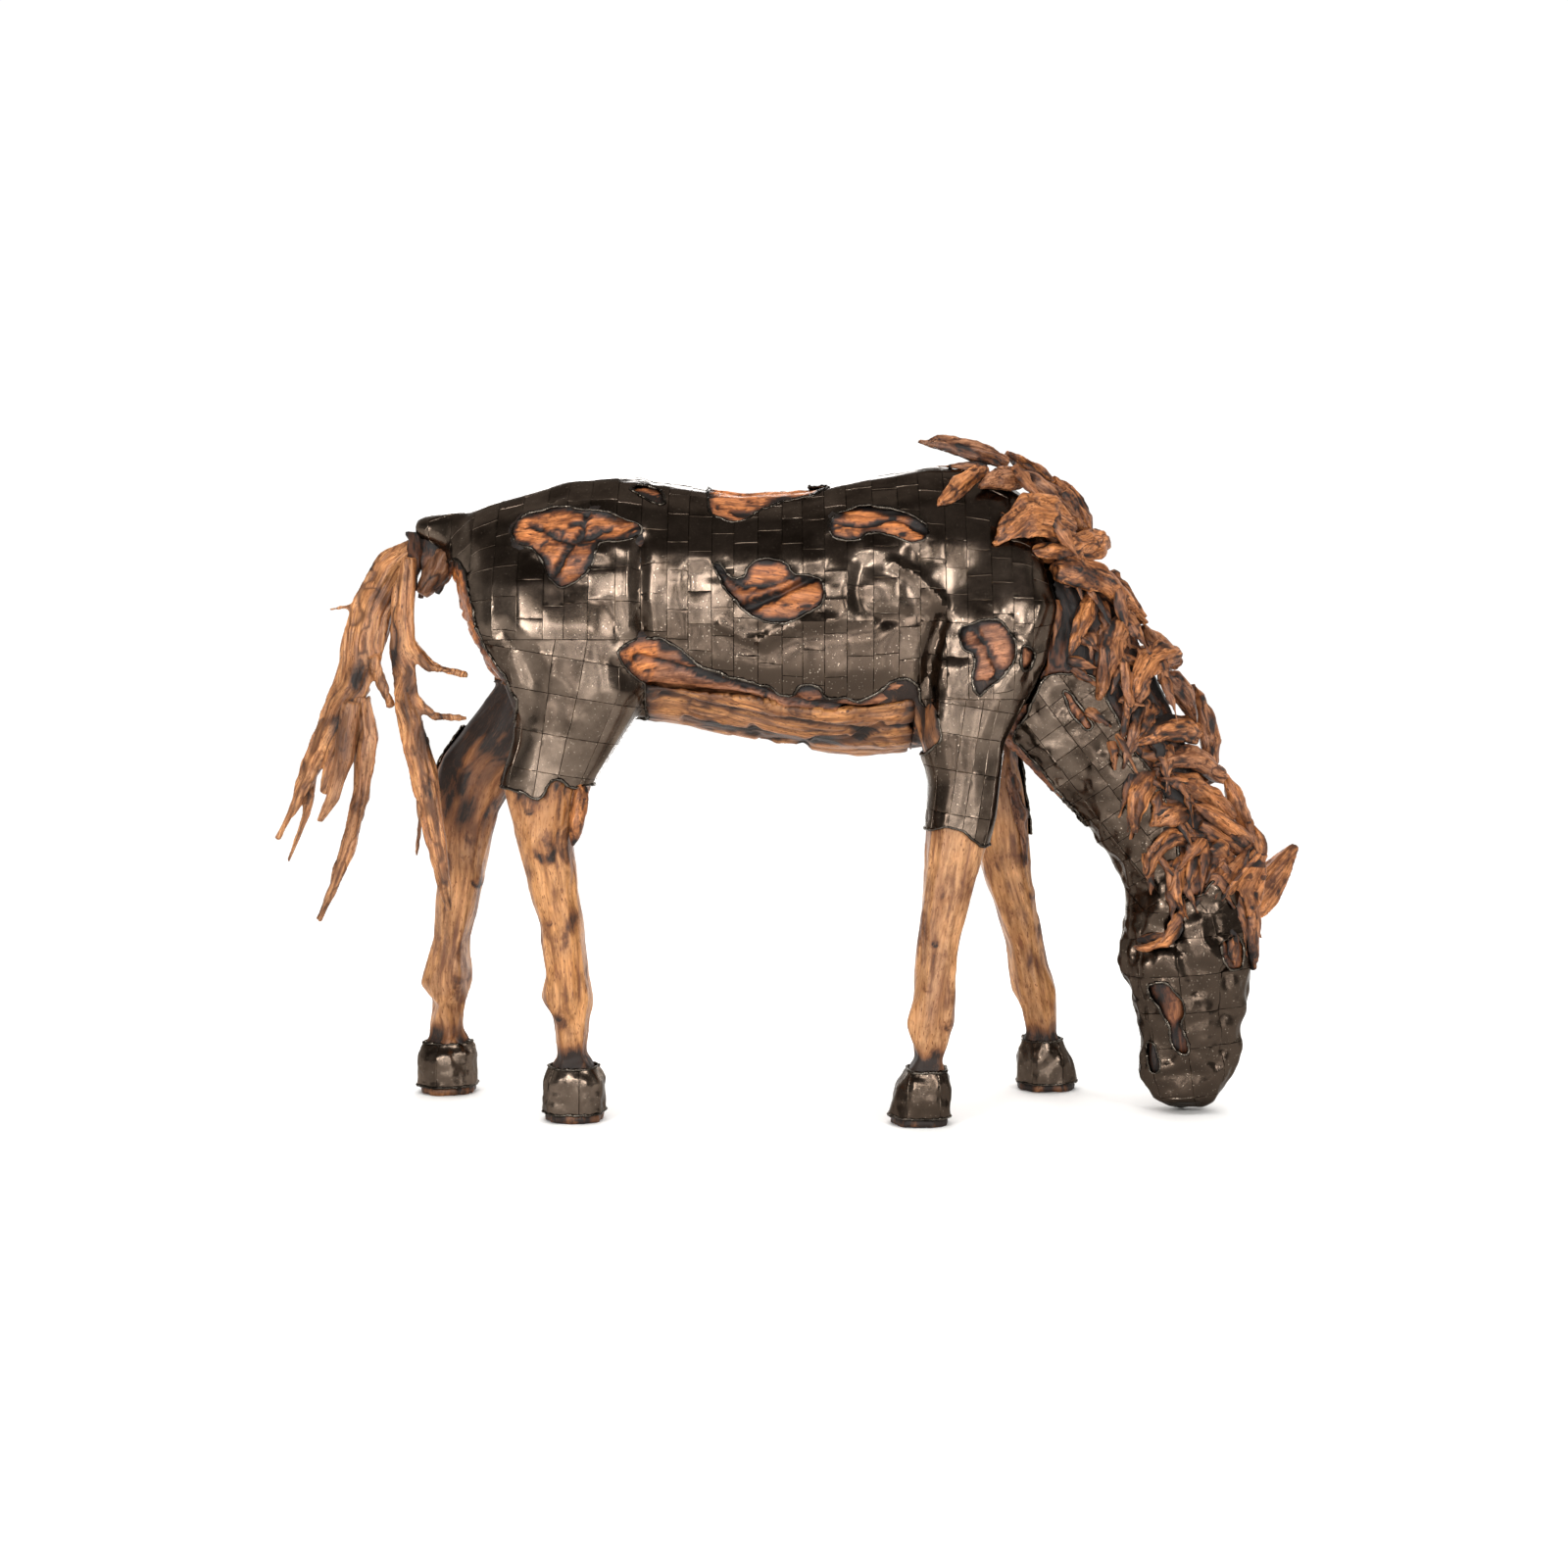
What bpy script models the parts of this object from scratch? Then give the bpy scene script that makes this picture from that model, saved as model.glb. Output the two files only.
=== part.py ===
"""A life-size grazing horse of reclaimed wood, partly skinned with welded steel plating.

The horse walks towards +X, its right side faces -Y and +Z is up. The origin is on the floor, under the
middle of the whole figure. Run it with: blender --background --python part.py
"""

import math

import bmesh
import bpy
import numpy as np
from mathutils import Matrix, Vector

# Driving sizes, in metres
WITHERS_HEIGHT = 1.46
SHEET = 0.0025  # steel plating and the steel of the hooves
GAP = 0.0003  # between pieces that touch
SOLE_PROUD = 0.014  # wood showing under each steel hoof
HOOF_HEIGHT = 0.118  # floor to the rim of a steel hoof
EAR_WALL = 0.009

# The figure is drawn to one scale, with its withers at 146 and the floor a little under zero
DRAWN_WITHERS = 146.0
DRAWN_FLOOR = -0.3
DRAWN = WITHERS_HEIGHT / (DRAWN_WITHERS - DRAWN_FLOOR)
LEG_SEAT = 79.0  # height of the joint between the trunk and its legs
VOXEL = 1.15
TRUNK_TRIANGLES = 880
NECK_TRIANGLES = 300

# Each row of a body form is the outline in side view, as (x, z) and (x, z), then half the width and y
TORSO = [
    ((-76.0, 119.0), (-76.0, 133.0), 5.0, 0.0),
    ((-73.0, 110.0), (-73.5, 134.8), 12.0, 0.0),
    ((-67.5, 99.0), (-67.5, 137.2), 18.0, 0.0),
    ((-58.5, 91.5), (-58.5, 140.0), 22.5, 0.0),
    ((-48.5, 88.0), (-48.5, 143.0), 24.5, 0.0),
    ((-37.0, 88.0), (-37.0, 143.8), 24.5, 0.0),
    ((-25.0, 87.0), (-25.0, 141.6), 23.5, 0.0),
    ((-9.0, 84.0), (-9.0, 139.8), 25.0, 0.0),
    ((7.0, 81.0), (7.0, 141.0), 26.0, 0.0),
    ((22.5, 79.8), (22.5, 144.2), 25.0, 0.0),
    ((34.0, 81.0), (34.0, 146.4), 22.5, 0.0),
    ((45.0, 83.0), (45.0, 145.6), 20.5, 0.0),
    ((55.0, 88.0), (54.5, 139.5), 17.0, 0.0),
    ((62.5, 98.0), (61.5, 126.0), 10.0, 0.0),
]
DOCK = [
    ((-64.0, 126.0), (-64.0, 138.0), 8.0, 0.0),
    ((-72.0, 125.5), (-72.5, 135.8), 6.5, 0.0),
    ((-79.0, 127.0), (-79.5, 134.8), 5.0, 0.0),
    ((-84.4, 129.4), (-84.6, 134.2), 3.6, 0.0),
]
NEAR_HIND_LEG = [
    ((-66.0, 128.0), (-38.0, 128.0), 8.0, -12.5),
    ((-71.5, 118.0), (-31.0, 118.0), 11.5, -14.0),
    ((-71.0, 108.5), (-29.0, 108.5), 12.8, -14.5),
    ((-62.5, 96.0), (-30.0, 96.0), 12.0, -14.8),
    ((-59.3, 87.5), (-34.4, 87.5), 10.4, -14.8),
    ((-60.6, 81.0), (-38.8, 81.0), 9.0, -14.8),
    ((-63.2, 74.5), (-42.5, 74.5), 8.0, -15.0),
    ((-60.2, 62.0), (-46.6, 62.0), 6.8, -15.2),
    ((-57.2, 53.0), (-46.0, 53.0), 6.2, -15.4),
    ((-54.6, 42.5), (-44.8, 42.5), 5.6, -15.6),
    ((-53.2, 32.0), (-43.6, 32.0), 5.5, -15.8),
    ((-54.2, 26.2), (-42.0, 26.2), 6.0, -15.9),
    ((-51.8, 22.6), (-42.9, 22.6), 4.8, -16.0),
    ((-50.9, 18.0), (-43.3, 18.0), 4.4, -16.0),
    ((-50.9, 12.6), (-42.8, 12.6), 4.5, -16.0),
    ((-53.0, 9.9), (-40.3, 9.9), 6.4, -16.0),
    ((-53.4, 6.0), (-39.7, 6.0), 6.9, -16.0),
    ((-53.4, -6.0), (-39.7, -6.0), 6.9, -16.0),
]
FAR_HIND_LEG = [
    ((-66.0, 128.0), (-38.0, 128.0), 8.0, 12.5),
    ((-71.5, 118.0), (-31.5, 118.0), 11.5, 14.0),
    ((-72.0, 108.5), (-31.0, 108.5), 12.8, 14.5),
    ((-68.0, 96.0), (-35.0, 96.0), 12.0, 14.8),
    ((-75.0, 87.0), (-44.5, 87.0), 10.2, 14.8),
    ((-81.0, 79.5), (-56.0, 79.5), 8.6, 14.8),
    ((-83.2, 73.0), (-63.0, 73.0), 7.5, 15.0),
    ((-82.9, 66.0), (-67.6, 66.0), 6.8, 15.2),
    ((-82.0, 55.5), (-69.5, 55.5), 6.2, 15.4),
    ((-82.6, 42.0), (-72.8, 42.0), 5.6, 15.6),
    ((-83.6, 34.0), (-74.2, 34.0), 5.5, 15.8),
    ((-86.2, 25.4), (-73.8, 25.4), 6.0, 15.9),
    ((-83.8, 21.5), (-75.6, 21.5), 4.8, 16.0),
    ((-84.0, 15.5), (-75.8, 15.5), 4.4, 16.0),
    ((-84.0, 12.6), (-75.6, 12.6), 4.5, 16.0),
    ((-86.0, 9.9), (-73.0, 9.9), 6.4, 16.0),
    ((-86.6, 6.0), (-72.5, 6.0), 6.9, 16.0),
    ((-86.6, -6.0), (-72.5, -6.0), 6.9, 16.0),
]
NEAR_FORE_LEG = [
    ((37.0, 128.0), (56.0, 128.0), 7.0, -12.0),
    ((33.0, 113.5), (60.8, 113.5), 10.0, -14.2),
    ((31.3, 100.5), (58.0, 100.5), 10.6, -15.2),
    ((29.2, 92.0), (53.2, 92.0), 10.0, -15.8),
    ((29.6, 83.3), (48.8, 83.3), 8.8, -16.4),
    ((32.4, 74.8), (47.9, 74.8), 7.8, -17.0),
    ((31.5, 64.2), (46.2, 64.2), 7.4, -17.6),
    ((30.5, 53.5), (42.8, 53.5), 6.4, -18.3),
    ((29.6, 45.0), (40.6, 45.0), 5.8, -18.8),
    ((29.6, 36.5), (38.8, 36.5), 5.2, -19.2),
    ((28.3, 27.2), (37.9, 27.2), 5.3, -19.6),
    ((26.2, 22.0), (37.9, 22.0), 5.8, -19.8),
    ((28.1, 18.2), (36.4, 18.2), 4.6, -20.0),
    ((27.8, 12.8), (35.2, 12.8), 4.5, -20.0),
    ((25.6, 10.2), (36.4, 10.2), 6.2, -20.0),
    ((23.8, 6.0), (36.8, 6.0), 6.9, -20.0),
    ((22.0, -6.0), (36.2, -6.0), 6.9, -20.0),
]
FAR_FORE_LEG = [
    ((37.0, 128.0), (56.0, 128.0), 7.0, 12.0),
    ((33.0, 113.5), (60.5, 113.5), 10.0, 14.2),
    ((33.0, 100.5), (58.4, 100.5), 10.6, 15.2),
    ((37.0, 92.0), (56.2, 92.0), 10.0, 15.8),
    ((41.5, 82.2), (55.4, 82.2), 8.6, 16.4),
    ((43.3, 73.0), (56.4, 73.0), 7.7, 17.0),
    ((44.5, 61.5), (58.3, 61.5), 7.2, 17.5),
    ((46.8, 50.5), (59.4, 50.5), 6.4, 18.2),
    ((50.2, 41.0), (60.9, 41.0), 5.7, 18.6),
    ((52.9, 33.5), (62.2, 33.5), 5.2, 19.0),
    ((54.0, 26.8), (63.6, 26.8), 5.3, 19.2),
    ((53.8, 23.0), (65.6, 23.0), 5.8, 19.4),
    ((56.2, 19.0), (65.0, 19.0), 4.6, 19.5),
    ((57.2, 12.8), (64.8, 12.8), 4.5, 19.5),
    ((55.9, 9.9), (67.2, 9.9), 6.2, 19.5),
    ((55.2, 6.0), (69.0, 6.0), 6.9, 19.5),
    ((55.2, -6.0), (69.6, -6.0), 6.9, 19.5),
]
NECK = [
    ((47.5, 85.0), (47.0, 139.0), 12.5, 0.0),
    ((55.0, 77.4), (65.0, 130.0), 14.0, 0.0),
    ((62.2, 70.6), (78.0, 113.5), 12.5, -0.5),
    ((69.8, 63.4), (86.5, 96.0), 10.8, -1.5),
    ((75.4, 55.8), (93.5, 79.0), 9.2, -2.5),
    ((78.4, 48.0), (101.0, 62.0), 8.6, -3.5),
]
HEAD = [
    ((79.8, 58.5), (100.0, 61.0), 7.6, -3.5),
    ((79.4, 54.0), (103.0, 56.0), 8.4, -3.8),
    ((77.6, 44.0), (105.4, 44.5), 9.6, -4.2),
    ((76.6, 33.5), (105.8, 33.0), 10.2, -4.8),
    ((79.4, 24.5), (104.8, 24.5), 8.8, -5.4),
    ((81.0, 15.5), (103.9, 15.5), 7.4, -6.0),
    ((80.6, 8.0), (101.6, 8.0), 7.0, -6.4),
    ((82.8, 3.4), (98.8, 3.4), 6.0, -6.6),
    ((87.0, 0.4), (95.2, 0.4), 3.4, -6.8),
]

# Outlines in side view where the plating leaves the wood bare, and the line that parts the belly slab
BELLY_SEAM = [
    (-31.5, 70.0), (-31.5, 96.0), (-6.5, 93.3), (0.0, 91.2), (10.5, 90.2), (28.4, 92.7), (28.4, 70.0),
]
BELLY_OPENING = [
    (-31.0, 68.0), (-30.0, 104.8), (-27.5, 106.4), (-18.2, 100.4), (0.0, 94.2), (4.0, 96.6), (9.0, 93.6),
    (17.2, 92.9), (26.8, 98.4), (30.6, 91.8), (34.6, 86.4), (31.6, 81.0), (30.0, 68.0),
]
SEAT_OPENING = [
    (-82.0, 123.6), (-73.8, 123.6), (-69.6, 109.0), (-60.4, 97.0), (-62.0, 89.0), (-82.0, 89.0),
]
HIP_OPENING = [
    (-60.0, 129.5), (-57.3, 134.0), (-49.4, 135.6), (-31.1, 131.3), (-31.3, 128.9), (-40.3, 127.3),
    (-45.1, 118.5), (-48.3, 117.4), (-53.2, 123.0),
]
CROUP_OPENING = [(-35.0, 140.4), (-31.1, 141.0), (-26.4, 138.4), (-25.8, 136.2), (-30.0, 136.8)]
SADDLE_OPENING = [
    (-16.5, 144.0), (-16.1, 134.1), (-11.8, 131.8), (-4.3, 135.4), (7.5, 138.6), (7.5, 144.0),
]
WITHERS_OPENING = [
    (9.4, 130.6), (11.5, 133.8), (22.5, 135.6), (32.2, 131.3), (31.6, 127.9), (26.5, 127.7), (19.8, 129.7),
    (13.4, 127.8),
]
RIB_OPENING = [
    (-16.1, 122.9), (-9.6, 119.5), (-6.4, 123.4), (-2.0, 124.0), (8.6, 120.0), (8.2, 114.2), (0.0, 109.4),
    (-7.5, 111.4),
]
SHOULDER_OPENING = [
    (38.0, 106.0), (41.4, 108.8), (46.0, 108.6), (48.9, 104.0), (46.1, 97.0), (42.1, 94.8), (41.0, 102.4),
]
FLANK_OPENING = [(-36.9, 103.4), (-34.3, 105.6), (-30.8, 106.0), (-32.2, 96.6)]
NECK_PLATED = [
    (56.0, 84.0), (59.6, 94.6), (64.4, 98.2), (69.6, 98.0), (77.5, 83.0), (84.0, 74.0), (88.0, 62.0),
    (88.5, 47.0), (70.0, 47.0), (70.0, 63.0),
]
NECK_OPENING = [(62.4, 95.0), (65.8, 93.0), (69.2, 85.6), (64.0, 88.6)]
CHEEK_OPENING = [(81.0, 28.5), (85.3, 32.2), (87.5, 29.6), (90.4, 15.6), (87.6, 15.2), (84.0, 24.2)]
JAW_OPENING = [(81.2, 15.6), (83.4, 16.0), (84.8, 9.4), (82.2, 8.6)]
EYE_OPENING = [(97.6, 41.0), (101.5, 40.6), (102.2, 36.0), (97.4, 35.6)]
HEAD_TOP = 47.0
THIGH_HEM = [(-70.0, 73.6), (-60.0, 73.8), (-55.5, 71.6), (-49.0, 75.4), (-44.0, 73.6), (-36.0, 73.8)]
FORELEG_HEM = [(24.0, 62.6), (33.0, 62.8), (36.0, 64.2), (40.0, 59.8), (64.0, 60.2)]

# Driftwood of the tail: each fork is (x, y, z, width, depth) from its root to its tip
TAIL = {
    "tail_root": [
        [
            (-71.0, 0, 127.5, 10.0, 9.0), (-77.5, 0, 126.0, 10.0, 8.6), (-80.0, -1, 121.0, 7.4, 6.4),
            (-82.8, -2, 116.5, 3.0, 3.0),
        ]
    ],
    "tail_antler": [
        [
            (-85.6, -4, 125.0, 3.6, 3.6), (-86.6, -4, 116.0, 5.4, 4.6), (-87.2, -4, 104.0, 6.4, 5.0),
            (-85.6, -4, 90.0, 6.8, 5.0), (-82.4, -4, 77.0, 6.8, 4.6), (-79.6, -4, 61.5, 5.4, 4.0),
            (-76.2, -4, 44.5, 1.8, 1.8),
        ],
        [(-86.5, -4, 106.0, 4.0, 3.6), (-80.4, -4.4, 100.2, 3.4, 2.8), (-72.0, -5, 98.2, 0.9, 0.9)],
        [(-85.0, -4, 93.0, 4.0, 3.4), (-79.6, -4.4, 88.8, 2.4, 2.0), (-72.3, -4.8, 88.4, 0.7, 0.7)],
    ],
    "tail_main": [
        [
            (-81.5, 1, 130.0, 3.4, 3.4), (-90.0, 1, 123.6, 8.8, 5.6), (-94.4, 1, 114.5, 10.8, 7.0),
            (-97.0, 0, 103.5, 11.0, 7.4), (-99.6, 0, 95.5, 9.6, 7.0), (-103.8, 0, 86.5, 7.0, 5.6),
            (-108.2, 0, 78.2, 6.0, 4.6), (-111.8, 0, 69.2, 2.8, 2.6), (-116.4, 0, 60.6, 1.4, 1.4),
        ],
        [(-109.0, 1, 77.0, 4.0, 3.0), (-110.2, 2, 66.0, 2.6, 2.2), (-114.4, 2, 55.2, 1.0, 1.0)],
        [(-97.0, -1, 96.0, 5.0, 4.0), (-103.0, -2, 82.0, 4.6, 3.0), (-105.4, -2, 71.0, 2.4, 1.6)],
        [(-94.6, -2, 102.0, 4.0, 3.4), (-89.6, -3, 91.0, 2.2, 2.2)],
        [(-96.0, 0, 114.6, 2.8, 2.2), (-104.2, -1, 113.2, 0.9, 0.9)],
    ],
    "tail_long_whip": [
        [
            (-96.6, -2, 93.5, 4.6, 4.0), (-95.4, -2, 84.0, 6.2, 4.6), (-96.8, -1, 71.6, 4.6, 4.0),
            (-100.2, 0, 58.0, 3.8, 3.4), (-103.8, 1, 49.0, 3.2, 3.0), (-107.4, 2, 41.6, 1.7, 1.7),
        ]
    ],
    "tail_inner_shard": [
        [
            (-98.4, -4, 92.0, 4.4, 3.2), (-100.2, -5, 79.0, 4.2, 3.4), (-102.6, -5, 70.5, 3.8, 3.0),
            (-105.8, -4, 64.8, 1.6, 1.4),
        ]
    ],
    "tail_thin_twig": [
        [(-82.6, 0, 84.0, 2.4, 2.4), (-83.8, 3.0, 70.0, 2.2, 2.2), (-85.1, 4.5, 56.0, 1.0, 1.0)]
    ],
}
# Carved locks: each is its root, the middle of its back and its tip, then its width and depth
MANE = {
    "mane_withers_blade": [((51.0, -2, 146.4), (41.5, -4, 149.6), (30.5, -4, 151.5), 5.4, 4.0)],
    "mane_withers_drop": [((45.5, -7, 145.0), (38.5, -15, 139.5), (33.0, -17, 134.5), 4.6, 3.4)],
    "mane_withers_fold": [((53.5, -7, 142.5), (48.0, -13, 142.0), (43.5, -16, 140.0), 6.2, 4.6)],
    "mane_crest_ridge": [((66.0, -5, 133.5), (57.0, -6, 141.5), (49.5, -5, 145.5), 6.0, 6.0)],
    "mane_crest_spur": [((61.6, 0, 142.0), (56.2, 0, 145.9), (51.0, 0, 149.4), 3.8, 6.0)],
    "mane_crest_knuckle": [((69.6, -1, 130.0), (66.2, -1, 137.0), (61.4, 0, 143.4), 6.4, 7.0)],
    "mane_broad_leaf": [((65.0, -9, 131.0), (55.0, -17, 133.5), (46.0, -20, 127.0), 11.0, 4.0)],
    "mane_nape_slab": [((73.4, -1, 129.0), (65.0, -10, 126.5), (54.5, -16, 125.5), 8.2, 6.0)],
    "mane_long_slab": [((60.5, -14, 121.5), (71.0, -10, 119.5), (82.0, -5, 110.0), 8.0, 7.0)],
    "mane_hanging_lock": [((69.0, -10, 116.0), (66.0, -15, 110.0), (63.5, -16, 102.5), 4.4, 3.6)],
    "mane_antler": [
        ((77.0, -8, 112.0), (73.0, -13, 103.5), (70.0, -14.5, 93.0), 6.0, 4.6),
        ((75.0, -11, 104.0), (76.6, -13.5, 97.0), (76.5, -13.5, 88.5), 3.6, 3.2),
    ],
    "mane_outer_knot": [((90.0, -1, 100.6), (85.4, -2, 104.6), (81.5, -3, 109.5), 6.0, 6.4)],
    "mane_falling_prong": [((89.5, -4, 102.5), (82.0, -10, 101.5), (78.0, -13.5, 93.0), 7.4, 5.0)],
    "mane_side_slab": [((85.0, -8, 98.5), (90.0, -7, 94.5), (93.5, -4, 87.0), 5.6, 6.0)],
    "mane_long_drop": [((81.5, -8, 95.0), (78.5, -13, 85.5), (75.5, -14, 77.0), 3.8, 3.4)],
    "mane_broad_hook": [((94.0, -3, 84.5), (87.0, -9, 86.5), (79.0, -13, 83.0), 7.6, 6.0)],
    "mane_outer_horn": [((98.0, 0, 78.0), (96.8, 0, 87.5), (93.6, 0, 96.5), 5.0, 5.6)],
    "mane_cross_slab": [((100.5, -2, 74.5), (91.5, -8, 79.5), (82.5, -12.5, 78.0), 6.4, 6.0)],
    "mane_muzzle_lock": [((85.0, -9, 78.0), (79.5, -13, 72.0), (78.5, -13.5, 63.0), 6.2, 5.0)],
    "mane_slanting_slab": [((101.5, -3, 66.0), (92.5, -9, 73.0), (84.0, -12.5, 75.0), 6.2, 5.4)],
    "mane_long_splint": [((106.0, -3, 60.0), (98.0, -8, 65.5), (90.0, -12, 70.5), 5.2, 5.4)],
    "mane_outer_shard": [
        ((107.0, 0, 60.0), (104.0, 0, 68.6), (100.6, 0, 76.0), 4.6, 6.0),
        ((109.6, 0, 54.0), (109.0, 0, 59.0), (107.8, 0, 64.0), 3.4, 4.0),
    ],
    "mane_throat_leaf": [((91.0, -8, 69.5), (86.0, -12, 67.5), (81.5, -13, 64.5), 6.8, 4.0)],
    "mane_arched_lock": [((99.5, -6, 58.5), (86.5, -12, 62.0), (81.0, -13, 53.0), 6.0, 5.4)],
    "mane_curled_lock": [((98.0, -7, 56.5), (87.5, -12, 54.0), (90.0, -13, 43.5), 6.6, 5.0)],
    "mane_brow_slab": [((101.5, -6, 59.0), (96.0, -10, 53.0), (91.0, -12.5, 45.0), 5.2, 5.0)],
    "mane_far_shoulder": [((62.0, 6, 138.0), (56.0, 15, 133.0), (48.0, 19, 124.0), 9.4, 5.0)],
    "mane_far_nape": [((75.6, 4, 120.0), (70.0, 12, 115.0), (63.0, 15, 106.0), 9.0, 6.0)],
    "mane_far_middle": [((88.0, 4, 104.0), (81.0, 10, 98.0), (73.0, 13, 88.0), 9.0, 5.6)],
    "mane_far_poll": [((99.0, 4, 76.0), (91.0, 10, 72.0), (84.0, 12, 60.0), 9.0, 6.0)],
}
FORELOCK = {
    "forelock_cheek_strap": [((91.0, -11, 46.5), (85.0, -14.5, 39.0), (78.0, -13.5, 37.5), 3.4, 3.4)],
    "forelock_middle": [
        ((107.0, -3, 54.0), (105.5, -8, 43.0), (106.0, -8, 32.0), 5.0, 4.0),
        ((108.0, 1, 50.0), (111.5, 3, 41.0), (110.5, 4, 34.0), 4.6, 4.0),
    ],
    "forelock_temple": [((99.5, -9, 43.0), (100.0, -12.5, 38.0), (100.5, -12.5, 33.5), 5.0, 3.6)],
}
SPLINTERS = {
    "thigh_splinter": [((-46.0, -18.6, 77.0), (-45.6, -20.0, 69.0), (-46.6, -19.6, 60.6), 4.6, 4.6)],
    "foreleg_splint": [((51.6, 10.6, 78.4), (54.6, 11.4, 66.0), (57.0, 12.6, 53.6), 4.6, 3.6)],
}
# Each ear is its base, its tip, the way its hollow faces, and its width
EARS = {
    "near_ear": ((99.4, -6.8, 44.0), (106.8, -13.0, 58.4), (0.25, -0.95, -0.20), 9.4),
    "far_ear": ((106.2, 5.2, 42.8), (120.3, 12.0, 58.2), (0.25, 0.93, -0.22), 8.8),
}
# The near ear is seated on the head itself, and the far one on a root of its own that grows from the brow
EAR_ROOTS = {
    "near_ear": [],
    "far_ear": [((98.0, 1.2, 43.6), (104.6, 3.4, 42.6), (110.4, 6.4, 46.0), 6.4, 5.4)],
}


def clear_scene():
    for obj in list(bpy.data.objects):
        bpy.data.objects.remove(obj)


def finish_material(name, colour, roughness, metallic=0.0):
    made = bpy.data.materials.new(name)
    made.use_nodes = True
    shader = made.node_tree.nodes["Principled BSDF"]
    shader.inputs["Base Color"].default_value = (*colour, 1.0)
    shader.inputs["Roughness"].default_value = roughness
    shader.inputs["Metallic"].default_value = metallic
    return made


def height(z):
    """A drawn height, in metres above the floor."""
    return (z - DRAWN_FLOOR) * DRAWN


def mesh_from(bm):
    """The bmesh as a mesh whose faces all look out."""
    bmesh.ops.recalc_face_normals(bm, faces=bm.faces)
    mesh = bpy.data.meshes.new("drawn")
    bm.to_mesh(mesh)
    bm.free()
    return mesh


def editable(mesh):
    bm = bmesh.new()
    bm.from_mesh(mesh)
    return bm


def at_real_size(drawn):
    """Brings a drawn mesh to its real size, with the floor at zero."""
    for vert in drawn.vertices:
        vert.co = Vector((vert.co.x * DRAWN, vert.co.y * DRAWN, height(vert.co.z)))
    return drawn


def skin_rings(bm, rings):
    """Bridges each ring of vertices to the next and closes both ends."""
    loops = []
    for ring in rings:
        inside = set(ring)
        loops.append([e for e in bm.edges if e.verts[0] in inside and e.verts[1] in inside])
    for first, second in zip(loops, loops[1:]):
        bmesh.ops.bridge_loops(bm, edges=first + second)
    bmesh.ops.holes_fill(bm, edges=[e for e in bm.edges if e.is_boundary], sides=0)
    bmesh.ops.triangulate(bm, faces=bm.faces)
    return mesh_from(bm)


def squared(across, fullness):
    """A point of the unit circle, pushed out towards a square as fullness goes up from 2."""
    return math.copysign(abs(across) ** (2.0 / fullness), across)


def body_form(stations, sides=16, fullness=2.25):
    """A closed form, as drawn, through one upright or level ring for each row of its outline."""
    bm = bmesh.new()
    rings = []
    for (x_low, z_low), (x_high, z_high), half_width, y in stations:
        low, high = Vector((x_low, y, z_low)), Vector((x_high, y, z_high))
        centre, reach = (low + high) / 2, (high - low) / 2
        ring = bmesh.ops.create_circle(bm, segments=sides, radius=1.0)["verts"]
        for vert in ring:
            across, up = squared(vert.co.x, fullness), squared(vert.co.y, fullness)
            vert.co = centre + reach * up + Vector((0, half_width * across, 0))
        rings.append(ring)
    return skin_rings(bm, rings)


def branch_form(path, facing, sides=5, knottiness=0.12):
    """A closed branch through sections set square to its path, each flat to the facing direction."""
    bm = bmesh.new()
    rings = []
    points = [Vector(row[:3]) for row in path]
    for index, row in enumerate(path):
        ahead = points[min(index + 1, len(points) - 1)] - points[max(index - 1, 0)]
        across = ahead.cross(facing).normalized()
        outward = across.cross(ahead).normalized()
        ring = bmesh.ops.create_circle(bm, segments=sides, radius=0.5)["verts"]
        for corner, vert in enumerate(ring):
            knot = 1.0 + knottiness * math.sin(2.3 * corner + 1.7 * index + points[0].x)
            vert.co = points[index] + (across * vert.co.x * row[3] + outward * vert.co.y * row[4]) * knot
        rings.append(ring)
    return at_real_size(skin_rings(bm, rings))


def lock_path(root, middle, tip, width, depth):
    """Sections of a carved lock: blunt at its root, widest before its middle, pointed at its tip."""
    start, half_way, end = Vector(root), Vector(middle), Vector(tip)
    path = []
    for along, share in ((0.0, 0.60), (0.24, 0.97), (0.52, 0.96), (0.80, 0.58), (1.0, 0.14)):
        point = (
            start * (1.0 - along) * (1.0 - 2.0 * along)
            + half_way * 4.0 * along * (1.0 - along)
            + end * along * (2.0 * along - 1.0)
        )
        path.append((*point, width * share, depth * (0.3 + 0.7 * share)))
    return path


def guide_object(mesh):
    obj = bpy.data.objects.new("guide", mesh)
    obj.hide_render = True
    obj.display_type = "WIRE"
    CUTTERS.objects.link(obj)
    return obj


def with_modifiers_applied(guide):
    """The guide's mesh once its modifiers have run. The guide itself goes."""
    graph = bpy.context.evaluated_depsgraph_get()
    mesh = bpy.data.meshes.new_from_object(guide.evaluated_get(graph))
    bpy.data.objects.remove(guide)
    return mesh


def joined(meshes):
    bm = bmesh.new()
    for mesh in meshes:
        bm.from_mesh(mesh)
    mesh = bpy.data.meshes.new("joined")
    bm.to_mesh(mesh)
    bm.free()
    return mesh


def grown_together(forms, triangles):
    """Overlapping drawn forms melted into one smooth solid of about that many triangles, at its real size."""
    guide = guide_object(joined(forms))
    remesh = guide.modifiers.new("melt", "REMESH")
    remesh.mode = "VOXEL"
    remesh.voxel_size = VOXEL
    smooth = guide.modifiers.new("smooth", "SMOOTH")
    smooth.factor = 0.5
    smooth.iterations = 4
    dense = with_modifiers_applied(guide)
    guide = guide_object(dense)
    fewer = guide.modifiers.new("fewer", "DECIMATE")
    fewer.ratio = triangles / (2.0 * len(dense.polygons))
    fewer.use_collapse_triangulate = True
    return at_real_size(with_modifiers_applied(guide))


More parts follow.
